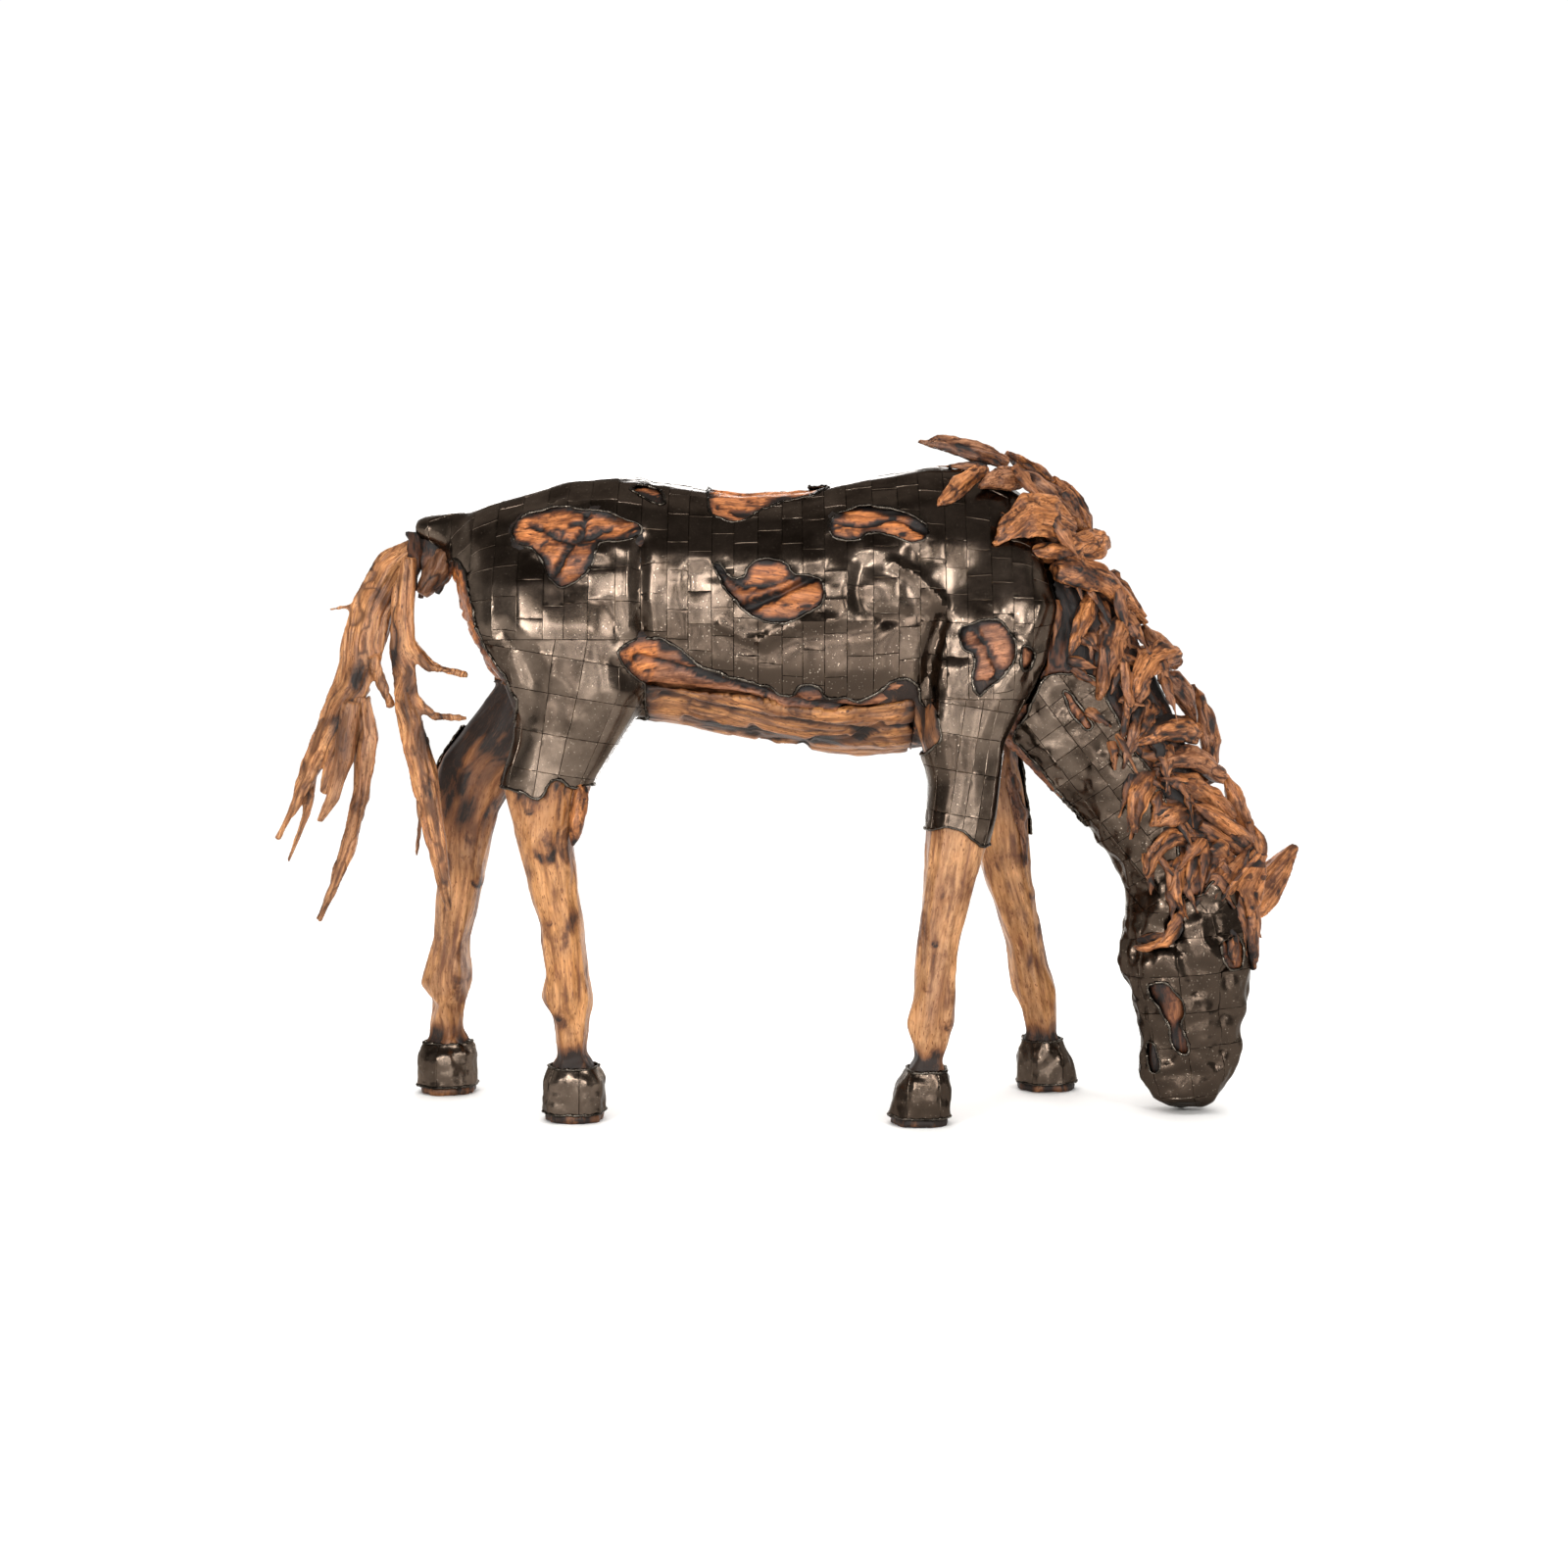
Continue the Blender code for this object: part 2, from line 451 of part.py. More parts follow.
def combined(mesh, other, operation):
    """Boolean of two closed meshes."""
    guide, tool = guide_object(mesh), guide_object(other)
    step = guide.modifiers.new("cut", "BOOLEAN")
    step.object = tool
    step.operation = operation
    step.solver = "EXACT"
    made = with_modifiers_applied(guide)
    bpy.data.objects.remove(tool)
    return made


def push_out(vert):
    """The move of a vertex that carries every face round it out by one."""
    normals = np.array([face.normal for face in vert.link_faces if face.calc_area() > 1e-12])
    push = Vector(np.linalg.lstsq(normals, np.ones(len(normals)), rcond=0.2)[0])
    return push * min(1.0, 2.5 / push.length)


def swollen(mesh, by):
    """A copy whose faces all stand out by that much."""
    bm = editable(mesh)
    bmesh.ops.triangulate(bm, faces=bm.faces)
    bm.normal_update()
    moved = [(vert, vert.co + push_out(vert) * by) for vert in bm.verts]
    for vert, spot in moved:
        vert.co = spot
    swelled = bpy.data.meshes.new("swollen")
    bm.to_mesh(swelled)
    bm.free()
    return swelled


def sheet_over(form):
    """A closed sheet of steel all round a form, GAP clear of it."""
    inner = editable(swollen(form, GAP))
    bmesh.ops.reverse_faces(inner, faces=inner.faces)
    inside = bpy.data.meshes.new("inside")
    inner.to_mesh(inside)
    inner.free()
    return joined([swollen(form, GAP + SHEET), inside])


def prism(outline, y_from=-60.0, y_to=60.0):
    """A side-view outline stretched across the horse, between two values of y."""
    bm = bmesh.new()
    face = bm.faces.new([bm.verts.new((x * DRAWN, y_from * DRAWN, height(z))) for x, z in outline])
    made = bmesh.ops.extrude_face_region(bm, geom=[face])["geom"]
    moved = [v for v in made if isinstance(v, bmesh.types.BMVert)]
    bmesh.ops.translate(bm, verts=moved, vec=(0, (y_to - y_from) * DRAWN, 0))
    bmesh.ops.triangulate(bm, faces=bm.faces)
    return mesh_from(bm)


def slab(low, high, x_from=-200.0, x_to=200.0, y_from=-60.0, y_to=60.0):
    """A box between two real heights, across drawn limits of x and y."""
    bm = bmesh.new()
    size = ((x_to - x_from) * DRAWN, (y_to - y_from) * DRAWN, high - low)
    middle = ((x_to + x_from) / 2 * DRAWN, (y_to + y_from) / 2 * DRAWN, (low + high) / 2)
    bmesh.ops.create_cube(bm, size=1.0, matrix=Matrix.Translation(middle) @ Matrix.Diagonal((*size, 1.0)))
    return mesh_from(bm)


def bodies_of(bm):
    """The separate bodies of a bmesh, each as a list of faces."""
    unseen, found = set(bm.faces), []
    while unseen:
        front, body = [unseen.pop()], []
        while front:
            face = front.pop()
            body.append(face)
            for edge in face.edges:
                for near in edge.link_faces:
                    if near in unseen:
                        unseen.remove(near)
                        front.append(near)
        found.append(body)
    return found


def largest_body(mesh):
    """Drops the crumbs that a cut leaves."""
    bm = editable(mesh)
    bmesh.ops.remove_doubles(bm, verts=bm.verts, dist=0.00002)
    bodies = sorted(bodies_of(bm), key=lambda faces: sum(f.calc_area() for f in faces))
    crumbs = [face for body in bodies[:-1] for face in body]
    bmesh.ops.delete(bm, geom=crumbs, context="FACES")
    kept = bpy.data.meshes.new("kept")
    bm.to_mesh(kept)
    bm.free()
    return kept


def corners_of(mesh):
    low = Vector([min(v.co[axis] for v in mesh.vertices) for axis in range(3)])
    high = Vector([max(v.co[axis] for v in mesh.vertices) for axis in range(3)])
    return low, high


def boxes_meet(first, second):
    (low_a, high_a), (low_b, high_b) = corners_of(first), corners_of(second)
    return all(low_a[i] < high_b[i] and low_b[i] < high_a[i] for i in range(3))


def seated(mesh, neighbours):
    """The mesh cut back from every neighbour that it runs into."""
    for other in neighbours:
        if boxes_meet(mesh, other):
            mesh = combined(mesh, other, "DIFFERENCE")
    return largest_body(mesh)


def union_of(forms):
    made = forms[0]
    for form in forms[1:]:
        made = combined(made, form, "UNION")
    return made


def opened(steel, outlines, y_from, y_to):
    """The steel with each outline cut through it, between two values of y."""
    for outline in outlines:
        steel = combined(steel, prism(outline, y_from, y_to), "DIFFERENCE")
    return steel


def shifted(outline, forward=0.0, up=0.0):
    return [(x + forward, z + up) for x, z in outline]


def under(hem, x_from, x_to):
    """The outline of everything below a hem."""
    return [(x_from, -10.0), *hem, (x_to, -10.0)]


def place(name, mesh, finish):
    """Adds a finished piece of the horse."""
    mesh.name = name
    mesh.materials.clear()
    mesh.materials.append(finish)
    PIECES[name] = bpy.data.objects.new(name, mesh)
    HORSE.objects.link(PIECES[name])


def place_trunk(form):
    """Trunk and belly slab, parted along the seam under the barrel."""
    upper = combined(form, slab(height(LEG_SEAT) + GAP, 2.0 * WITHERS_HEIGHT), "INTERSECT")
    belly = prism(BELLY_SEAM)
    place("trunk", largest_body(combined(upper, swollen(belly, GAP), "DIFFERENCE")), REDDISH_WOOD)
    place("belly_slab", largest_body(combined(upper, belly, "INTERSECT")), REDDISH_WOOD)


def place_legs(form, sheet):
    """Four legs under the trunk, each with a steel hoof round its foot."""
    corners = {
        "near_hind": (-200.0, -8.0, -60.0, 0.0),
        "far_hind": (-200.0, -8.0, 0.0, 60.0),
        "near_fore": (-8.0, 200.0, -60.0, 0.0),
        "far_fore": (-8.0, 200.0, 0.0, 60.0),
    }
    for corner, limits in corners.items():
        leg = combined(form, slab(0.0, height(LEG_SEAT), *limits), "INTERSECT")
        place(corner + "_leg", largest_body(leg), LIGHT_WOOD)
        steel = combined(sheet, slab(SOLE_PROUD, HOOF_HEIGHT, *limits), "INTERSECT")
        place(corner + "_hoof", largest_body(steel), STEEL)


def place_trunk_plating(sheet, neck):
    """The steel over the trunk and the tops of the legs."""
    steel = combined(sheet, prism(under(THIGH_HEM, -75.0, -32.0), -60.0, 0.0), "DIFFERENCE")
    steel = combined(steel, prism(under(shifted(THIGH_HEM, -20.0), -95.0, -52.0), 0.0, 60.0), "DIFFERENCE")
    steel = combined(steel, prism(under(FORELEG_HEM, 20.0, 70.0)), "DIFFERENCE")
    steel = combined(steel, slab(-0.1, height(97.0), -100.0, 75.0, -8.5, 15.5), "DIFFERENCE")
    steel = opened(steel, [BELLY_OPENING, SEAT_OPENING], -60.0, 60.0)
    shared = [HIP_OPENING, WITHERS_OPENING, SHOULDER_OPENING]
    near = [CROUP_OPENING, RIB_OPENING, FLANK_OPENING]
    steel = opened(steel, shared + near, -60.0, -3.0)
    steel = opened(steel, [shifted(each, 3.0, -2.5) for each in shared], 3.0, 60.0)
    steel = opened(steel, [SADDLE_OPENING], -60.0, 9.0)
    place("trunk_plating", seated(steel, [swollen(neck, GAP)]), STEEL)


def place_neck(neck, trunk_clear):
    """The wood of neck and head, with steel over the throat and over the face."""
    place("neck_and_head", seated(neck, [trunk_clear]), REDDISH_WOOD)
    sheet = sheet_over(neck)
    throat = combined(sheet, prism(NECK_PLATED), "INTERSECT")
    throat = opened(throat, [NECK_OPENING], -60.0, 0.0)
    place("neck_plating", seated(throat, [trunk_clear]), STEEL)
    face = combined(sheet, slab(-0.1, height(HEAD_TOP)), "INTERSECT")
    face = opened(face, [CHEEK_OPENING, JAW_OPENING, EYE_OPENING], -60.0, -3.5)
    face = opened(face, [CHEEK_OPENING], -3.5, 60.0)
    place("face_plating", largest_body(face), STEEL)


def ear_form(base, tip, hollow, width):
    """A cupped wooden leaf: a grid bent round its own length, then given a wall."""
    bm = bmesh.new()
    bmesh.ops.create_grid(bm, x_segments=4, y_segments=5, size=1.0)
    start, end = Vector(base), Vector(tip)
    run, facing = end - start, Vector(hollow).normalized()
    side = run.cross(facing).normalized()
    facing = side.cross(run).normalized()
    for vert in bm.verts:
        along = (vert.co.y + 1.0) / 2
        spread = width / 2 * (0.12 + 0.88 * math.sin(math.pi * (0.14 + 0.84 * along) ** 0.8))
        vert.co = start + run * along + side * vert.co.x * spread + facing * vert.co.x**2 * spread * 0.7
    guide = guide_object(at_real_size(mesh_from(bm)))
    wall = guide.modifiers.new("wall", "SOLIDIFY")
    wall.thickness = EAR_WALL
    wall.offset = 0.0
    leaf = editable(with_modifiers_applied(guide))
    bmesh.ops.triangulate(leaf, faces=leaf.faces)
    return mesh_from(leaf)


def outward_from_neck(path):
    """The way that a lock's broad side faces: out to its own side of the horse, and up over the crest."""
    return Vector((0.25, 1.0 if path[2][1] > 2.0 else -1.0, 0.35)).normalized()


def place_wood(name, forms, finish, settled):
    """One carved piece, cut back from what is already there. Later pieces are cut back from it in turn."""
    place(name, seated(union_of(forms), settled), finish)
    settled.extend(swollen(form, GAP) for form in forms)


def place_branches(settled):
    """Tail, splinters, ears, forelock and mane."""
    for name, forks in TAIL.items():
        forms = [branch_form(path, Vector((0, -1, 0)), 6) for path in forks]
        place_wood(name, forms, REDDISH_WOOD, settled)
    for name, ear in EARS.items():
        roots = [branch_form(lock_path(*root), Vector((0, 1, 0))) for root in EAR_ROOTS[name]]
        place_wood(name, [ear_form(*ear), *roots], LIGHT_WOOD, settled)
    for name, forks in (*SPLINTERS.items(), *FORELOCK.items(), *MANE.items()):
        paths = [lock_path(*fork) for fork in forks]
        place_wood(name, [branch_form(path, outward_from_neck(path)) for path in paths], MANE_WOOD, settled)


def stand_on_origin():
    """Hangs every piece from one empty, moved so that the origin is under the middle of the figure."""
    corners = [corners_of(piece.data) for piece in PIECES.values()]
    middle = [
        (min(low[axis] for low, _ in corners) + max(high[axis] for _, high in corners)) / 2
        for axis in range(2)
    ]
    stand = bpy.data.objects.new("horse", None)
    HORSE.objects.link(stand)
    stand.location = (-middle[0], -middle[1], 0.0)
    for piece in PIECES.values():
        piece.parent = stand


clear_scene()
HORSE = bpy.data.collections.new("Grazing horse")
CUTTERS = bpy.data.collections.new("Cutters")
bpy.context.scene.collection.children.link(HORSE)
bpy.context.scene.collection.children.link(CUTTERS)
PIECES = {}

REDDISH_WOOD = finish_material("oiled reddish wood", (0.36, 0.16, 0.06), 0.55)
LIGHT_WOOD = finish_material("oiled light wood", (0.55, 0.30, 0.13), 0.5)
MANE_WOOD = finish_material("oiled mane wood", (0.42, 0.19, 0.08), 0.6)
STEEL = finish_material("welded steel plate", (0.20, 0.18, 0.15), 0.3, 1.0)

body_rows = (TORSO, DOCK, NEAR_HIND_LEG, FAR_HIND_LEG, NEAR_FORE_LEG, FAR_FORE_LEG)
trunk_form = grown_together([body_form(rows) for rows in body_rows], TRUNK_TRIANGLES)
neck_form = grown_together([body_form(NECK), body_form(HEAD)], NECK_TRIANGLES)
trunk_sheet = sheet_over(trunk_form)
over_steel = SHEET + 2.0 * GAP
trunk_clear = swollen(trunk_form, over_steel)
plated_neck = swollen(neck_form, over_steel)

place_trunk(trunk_form)
place_legs(trunk_form, trunk_sheet)
place_trunk_plating(trunk_sheet, neck_form)
place_neck(neck_form, trunk_clear)
throat_clear = combined(plated_neck, swollen(prism(NECK_PLATED), GAP), "INTERSECT")
face_clear = combined(plated_neck, slab(-0.1, height(HEAD_TOP) + GAP), "INTERSECT")
place_branches([trunk_clear, throat_clear, face_clear, swollen(neck_form, GAP)])
stand_on_origin()
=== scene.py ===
"""Dresses the grazing horse: burnt and oiled teak root under small steel plates, welded edge to edge."""

import math
import random

import bmesh
import bpy
import numpy as np
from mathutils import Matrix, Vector
from mathutils.bvhtree import BVHTree


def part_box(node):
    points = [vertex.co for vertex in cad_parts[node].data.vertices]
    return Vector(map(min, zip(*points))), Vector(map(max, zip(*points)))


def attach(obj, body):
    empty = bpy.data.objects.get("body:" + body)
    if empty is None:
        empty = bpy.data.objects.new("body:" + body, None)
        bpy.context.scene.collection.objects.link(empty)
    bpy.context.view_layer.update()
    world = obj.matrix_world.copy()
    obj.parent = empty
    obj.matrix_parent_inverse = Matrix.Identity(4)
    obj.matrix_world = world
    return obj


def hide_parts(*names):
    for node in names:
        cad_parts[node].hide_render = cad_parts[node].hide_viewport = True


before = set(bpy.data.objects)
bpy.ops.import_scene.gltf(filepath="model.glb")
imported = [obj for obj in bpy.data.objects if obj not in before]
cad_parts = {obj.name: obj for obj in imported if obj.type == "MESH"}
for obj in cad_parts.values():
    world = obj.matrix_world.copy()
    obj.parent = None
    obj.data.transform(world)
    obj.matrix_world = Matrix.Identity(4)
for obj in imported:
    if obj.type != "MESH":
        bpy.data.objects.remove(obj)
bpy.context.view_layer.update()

# Studio
# A pale floor that runs to the horizon, softboxes on both sides of the camera, and a sky that is bright
# behind the horse, dim in front of it and greyer overhead, so that the steel turns dark where it faces up.
WITHERS = 1.46
CM = WITHERS / 146.3  # the horse is laid out in centimetres on a side view, with the floor at -0.3
MIDDLE = -0.02124  # where that view has its x of 0
CAMERA_AWAY = 500.0 * CM
CAMERA_HEIGHT = 100.3 * CM  # level with the flank
FRAME_SHIFT = -119.0 / 1600.0
FLOOR_SIZE = 40.0
SOFTBOX_LEVEL = 1.0  # how high up the horse the softboxes look


def linear(colour, alpha=1.0):
    """An sRGB hex colour as the linear values that a shader takes."""
    parts = [int(colour[i : i + 2], 16) / 255.0 for i in (1, 3, 5)]
    return (*(c / 12.92 if c <= 0.04045 else ((c + 0.055) / 1.055) ** 2.4 for c in parts), alpha)


def added(tree, kind, inputs=(), stops=(), **settings):
    """Adds a shader node. Each input is a plain value, or the socket that feeds it."""
    made = tree.nodes.new("ShaderNode" + kind)
    for name, value in settings.items():
        setattr(made, name, value)
    for name, value in dict(inputs).items():
        if isinstance(value, bpy.types.NodeSocket):
            tree.links.new(value, made.inputs[name])
        else:
            made.inputs[name].default_value = value
    for index, (place, colour) in enumerate(stops):
        ramp = made.color_ramp.elements
        stop = ramp[index] if index < len(ramp) else ramp.new(place)
        stop.position = place
        stop.color = colour
    return made


def new_finish(name):
    """A new material, with its node tree and its shader."""
    made = bpy.data.materials.new(name)
    made.use_nodes = True
    return made, made.node_tree, made.node_tree.nodes["Principled BSDF"]


def placed(name, data):
    """Puts an object with this mesh, curve, lamp or lens into the scene."""
    made = bpy.data.objects.new(name, data)
    scene.collection.objects.link(made)
    return made


def mesh_of(bm, name):
    """The shape as a mesh. The bmesh is freed."""
    mesh = bpy.data.meshes.new(name)
    bm.to_mesh(mesh)
    bm.free()
    return mesh


scene = bpy.context.scene
scene.view_settings.view_transform = "Standard"

lens = bpy.data.cameras.new("camera")
lens.lens = 50.0
lens.sensor_width = 36.0
lens.shift_y = FRAME_SHIFT
camera = placed("camera", lens)
camera.location = (MIDDLE, -CAMERA_AWAY, CAMERA_HEIGHT)
camera.rotation_euler = (math.radians(90.0), 0.0, 0.0)
scene.camera = camera

sky = bpy.data.worlds.new("studio")
sky.use_nodes = True
scene.world = sky
tree = sky.node_tree
tree.nodes.clear()
way = added(tree, "TexCoord")
height_of = added(tree, "SeparateXYZ", {0: way.outputs["Generated"]})
band = added(tree, "ValToRGB", {0: height_of.outputs["Z"]}, stops=(
    (0.0, linear("#fbfaf8")), (0.34, linear("#fbfaf8")), (0.58, linear("#b4b0ad")), (0.9, linear("#aca8a5")),
))
backdrop = added(tree, "MapRange", {0: height_of.outputs["Y"], 1: -0.3, 2: 0.5, 3: 0.34, 4: 1.1})
light = added(tree, "Background", {"Color": band.outputs["Color"], "Strength": backdrop.outputs[0]})
added(tree, "OutputWorld", {"Surface": light.outputs[0]})

bm = bmesh.new()
bmesh.ops.create_grid(bm, x_segments=1, y_segments=1, size=FLOOR_SIZE / 2.0)
floor = placed("floor", mesh_of(bm, "floor"))
# Matt white vinyl, a little grey so that the light alone sets how pale it looks
vinyl, _, shader = new_finish("matt white floor vinyl")
shader.inputs["Base Color"].default_value = linear("#f2f1ef")
shader.inputs["Roughness"].default_value = 0.9
shader.inputs["Specular IOR Level"].default_value = 0.1
floor.data.materials.append(vinyl)

# A wide soft lamp straight above whitens the whole floor, and the steel does not mirror it
lamp = bpy.data.lights.new("floor wash", "SUN")
lamp.energy = 2.85
lamp.angle = math.radians(80.0)
placed("floor wash", lamp).visible_glossy = False


def hung(name, place, size, power, level, mirrored=True, lighting=True):
    """Hangs a lamp of this width and height, which looks at the middle of the horse at that level."""
    lamp = bpy.data.lights.new(name, "AREA")
    lamp.shape = "RECTANGLE"
    lamp.size, lamp.size_y = size
    lamp.energy = power
    box = placed(name, lamp)
    box.location = place
    box.rotation_euler = (Vector((0.0, 0.0, level)) - Vector(place)).to_track_quat("-Z", "Y").to_euler()
    box.visible_glossy = mirrored
    box.visible_diffuse = lighting


# Each softbox: where it hangs, its width and height, its power, and whether the steel mirrors it
SOFTBOXES = {
    "right front": ((-2.2, -3.6, 1.9), (0.9, 1.4), 68.0, True),
    "left front": ((2.4, -3.3, 2.1), (0.8, 1.2), 50.0, True),
    "centre strip": ((0.1, -4.6, 2.3), (2.6, 0.35), 34.0, True),
    "overhead": ((0.0, -0.4, 3.6), (4.5, 3.5), 36.0, False),
    "far side": ((-0.4, 3.8, 2.6), (3.0, 1.2), 80.0, True),
}
for name, (place, size, power, mirrored) in SOFTBOXES.items():
    hung(name, place, size, power, SOFTBOX_LEVEL, mirrored=mirrored)

# Upright strips and two panels, which only draw highlights on the steel: place, size and power
STRIPS = [((x, y, 0.78), (0.13, 1.45), 8.0) for x, y in (
    (-1.55, -2.6), (-1.0, -2.7), (-0.35, -2.9), (0.45, -2.9), (1.0, -2.7), (1.6, -2.6), (-1.2, 2.8),
    (0.0, 3.0), (1.2, 2.8),
)]
STRIPS += [((-1.15, -3.4, 1.95), (0.5, 0.8), 18.0), ((0.35, -3.5, 1.9), (0.4, 0.7), 11.0)]
for place, size, power in STRIPS:
    hung("strip", place, size, power, place[2], lighting=False)


# Trunk
# The body is one mass of reclaimed teak root, torch-burnt, brushed and oiled. It shows in the windows left in
# the plating, which are burnt black along their edges by the welding.
def side(outline):
    """A side-view outline in the layout's centimetres, as metres in the row's frame."""
    return np.array([(x * CM + MIDDLE, (z + 0.3) * CM) for x, z in outline])


def noise(points, seed):
    """Smooth random values from -1 to 1, about one swing to a unit of distance, for an array of points."""
    cell = np.floor(points).astype(np.int64)
    part = points - cell
    part = part * part * part * (part * (part * 6.0 - 15.0) + 10.0)
    total = np.zeros(len(points))
    for corner in range(8):
        step = np.array((corner & 1, corner >> 1 & 1, corner >> 2))
        at = cell + step
        mixed = at[:, 0] * 73856093 ^ at[:, 1] * 19349663 ^ at[:, 2] * 83492791 ^ (seed + 7) * 2654435761
        mixed = (mixed ^ (mixed >> 15)) * 2246822519 & 0xFFFFFFFF
        mixed = (mixed ^ (mixed >> 13)) * 3266489917 & 0xFFFFFFFF
        weight = np.prod(np.where(step == 1, part, 1.0 - part), axis=1)
        total += weight * ((mixed ^ (mixed >> 16)) & 0xFFFF) / 32767.5
    return (total - 1.0) * 1.25


def ease(values, low, high):
    """0 below low, 1 above high and a smooth rise between them. Low may be the greater."""
    share = np.clip((values - low) / (high - low), 0.0, 1.0)
    return share * share * (3.0 - 2.0 * share)


def ragged(outline, wander=0.0035, step=0.011, seed=3):
    """An outline in metres, rounded at its corners and wandering as a torch cut does."""
    corners = side(outline)
    points = []
    for start, end in zip(corners, np.roll(corners, -1, axis=0)):
        count = max(1, round(float(np.linalg.norm(end - start)) / step))
        points.extend(start + (end - start) * i / count for i in range(count))
    points = np.array(points)
    points = (np.roll(points, 1, axis=0) + 2.0 * points + np.roll(points, -1, axis=0)) / 4.0
    here = np.column_stack((points / 0.028, np.zeros(len(points))))
    return points + wander * np.column_stack((noise(here, seed), noise(here, seed + 1)))


def apart(points, line):
    """Distance in side view from points to a line, both in metres."""
    nearest = np.full(len(points), np.inf)
    for start, end in zip(line, line[1:]):
        run, off = end - start, points - start
        share = np.clip(off @ run / max(run @ run, 1e-12), 0.0, 1.0)
        nearest = np.minimum(nearest, np.hypot(*(off - share[:, None] * run).T))
    return nearest


def distance_in(points, outline):
    """Distance in side view from points to an outline: below zero inside it."""
    closed = np.vstack((outline, outline[:1]))
    inside = np.zeros(len(points), bool)
    for start, end in zip(closed, closed[1:]):
        run, off = end - start, points - start
        if run[1] != 0.0:
            rises = (start[1] > points[:, 1]) != (end[1] > points[:, 1])
            inside ^= rises & (off[:, 0] < run[0] * off[:, 1] / run[1])
    nearest = apart(points, closed)
    return np.where(inside, -nearest, nearest)


SADDLE_AT = -0.066  # the middle of the saddle's window along the back
TEAR = 0.03  # how far its border is torn, which is wider than elsewhere


def bareness(points, openings, far=0.2):
    """Distance from the plating's borders: below zero where the wood is left bare."""
    field = np.full(len(points), far)
    for outline, right, left in openings:
        low, high = outline.min(axis=0) - far, outline.max(axis=0) + far
        near = np.all((points[:, [0, 2]] > low) & (points[:, [0, 2]] < high), axis=1)
        spots = points[near]
        across = np.maximum(right - spots[:, 1], spots[:, 1] - left)
        on_back = ease(spots[:, 2], 1.36, 1.42) * ease(np.abs(spots[:, 0] - SADDLE_AT), 0.20, 0.14)
        torn = TEAR * noise(spots / 0.08, 23) * on_back
        inside = np.maximum(distance_in(spots[:, [0, 2]], outline), across) + torn
        field[near] = np.minimum(field[near], inside)
    return field


HIP = [
    (-59.0, 127.0), (-60.1, 130.3), (-57.3, 134.5), (-49.4, 135.6), (-38.6, 134.5), (-31.1, 131.3),
    (-31.1, 129.2), (-34.3, 127.7), (-40.3, 127.5), (-41.8, 122.7), (-45.1, 118.5), (-48.3, 117.4),
    (-51.9, 119.5), (-53.0, 123.4), (-54.7, 126.0),
]
CROUP = [(-34.8, 140.6), (-31.1, 141.0), (-26.8, 138.8), (-25.8, 136.3), (-28.3, 136.1), (-31.1, 137.8)]
SADDLE = [
    (-16.5, 148.0), (-16.5, 134.6), (-11.8, 131.8), (-8.6, 132.4), (-4.3, 135.6), (1.0, 137.4), (7.0, 138.6),
    (7.5, 148.0),
]
WITHERS_WINDOW = [
    (9.2, 131.3), (10.7, 133.5), (17.2, 135.6), (22.5, 135.6), (27.9, 134.1), (32.2, 131.3), (31.8, 128.1),
    (27.9, 127.5), (21.5, 129.6), (18.2, 129.2), (15.0, 127.7), (10.7, 128.5),
]
RIB = [
    (-16.1, 122.7), (-13.9, 122.7), (-11.8, 119.5), (-8.6, 119.5), (-7.5, 122.7), (-4.3, 124.2), (0.0, 123.4),
    (2.6, 120.0), (8.6, 120.0), (9.2, 116.3), (6.4, 112.0), (0.0, 109.4), (-5.4, 110.3), (-9.7, 113.1),
    (-12.9, 117.4),
]
SHOULDER = [
    (37.8, 107.6), (41.7, 110.4), (47.4, 110.6), (50.6, 105.6), (50.2, 101.4), (47.6, 98.0), (44.8, 95.4),
    (42.2, 92.8), (41.0, 95.5), (41.4, 100.2), (41.2, 103.0), (38.5, 104.4),
]
SHOULDER_SLIT = [(51.4, 101.3), (52.4, 105.4), (55.4, 103.0), (53.4, 99.6), (51.6, 99.2)]
FLANK = [
    (-36.9, 103.4), (-34.3, 105.6), (-28.3, 106.7), (-28.3, 101.3), (-29.6, 95.9), (-32.2, 97.0),
    (-34.3, 100.2),
]
BELLY = [
    (-31.0, 60.0), (-30.6, 104.0), (-27.5, 106.7), (-23.6, 104.5), (-18.2, 100.2), (-11.8, 98.1),
    (-6.4, 96.6), (0.0, 93.8), (2.6, 93.8), (3.2, 95.9), (7.5, 95.9), (9.0, 93.3), (17.2, 92.7),
    (21.5, 94.8), (23.6, 97.0), (26.8, 98.1), (29.6, 95.9), (30.4, 92.4), (33.9, 88.4), (34.8, 84.1),
    (32.2, 81.8), (29.0, 80.0), (29.0, 60.0),
]
SEAT = [
    (-84.0, 124.2), (-73.8, 124.2), (-71.7, 122.1), (-69.4, 117.4), (-68.2, 108.8), (-65.0, 103.4),
    (-60.8, 98.1), (-58.6, 92.0), (-60.5, 86.0), (-84.0, 86.0),
]
THIGH_HEM = [
    (-80.0, -10.0), (-80.0, 73.8), (-61.0, 73.8), (-59.0, 72.6), (-57.0, 73.2), (-55.5, 71.4), (-53.4, 71.2),
    (-51.4, 74.6), (-49.0, 76.0), (-47.2, 73.6), (-44.0, 74.0), (-30.0, 74.0), (-30.0, -10.0),
]
FORELEG_HEM = [
    (20.0, -10.0), (20.0, 64.2), (31.8, 64.4), (35.5, 65.2), (39.6, 64.6), (41.0, 62.0), (43.0, 60.9),
    (78.0, 60.6), (78.0, -10.0),
]
INNER_LEGS = [(-110.0, -10.0), (-110.0, 97.0), (80.0, 97.0), (80.0, -10.0)]


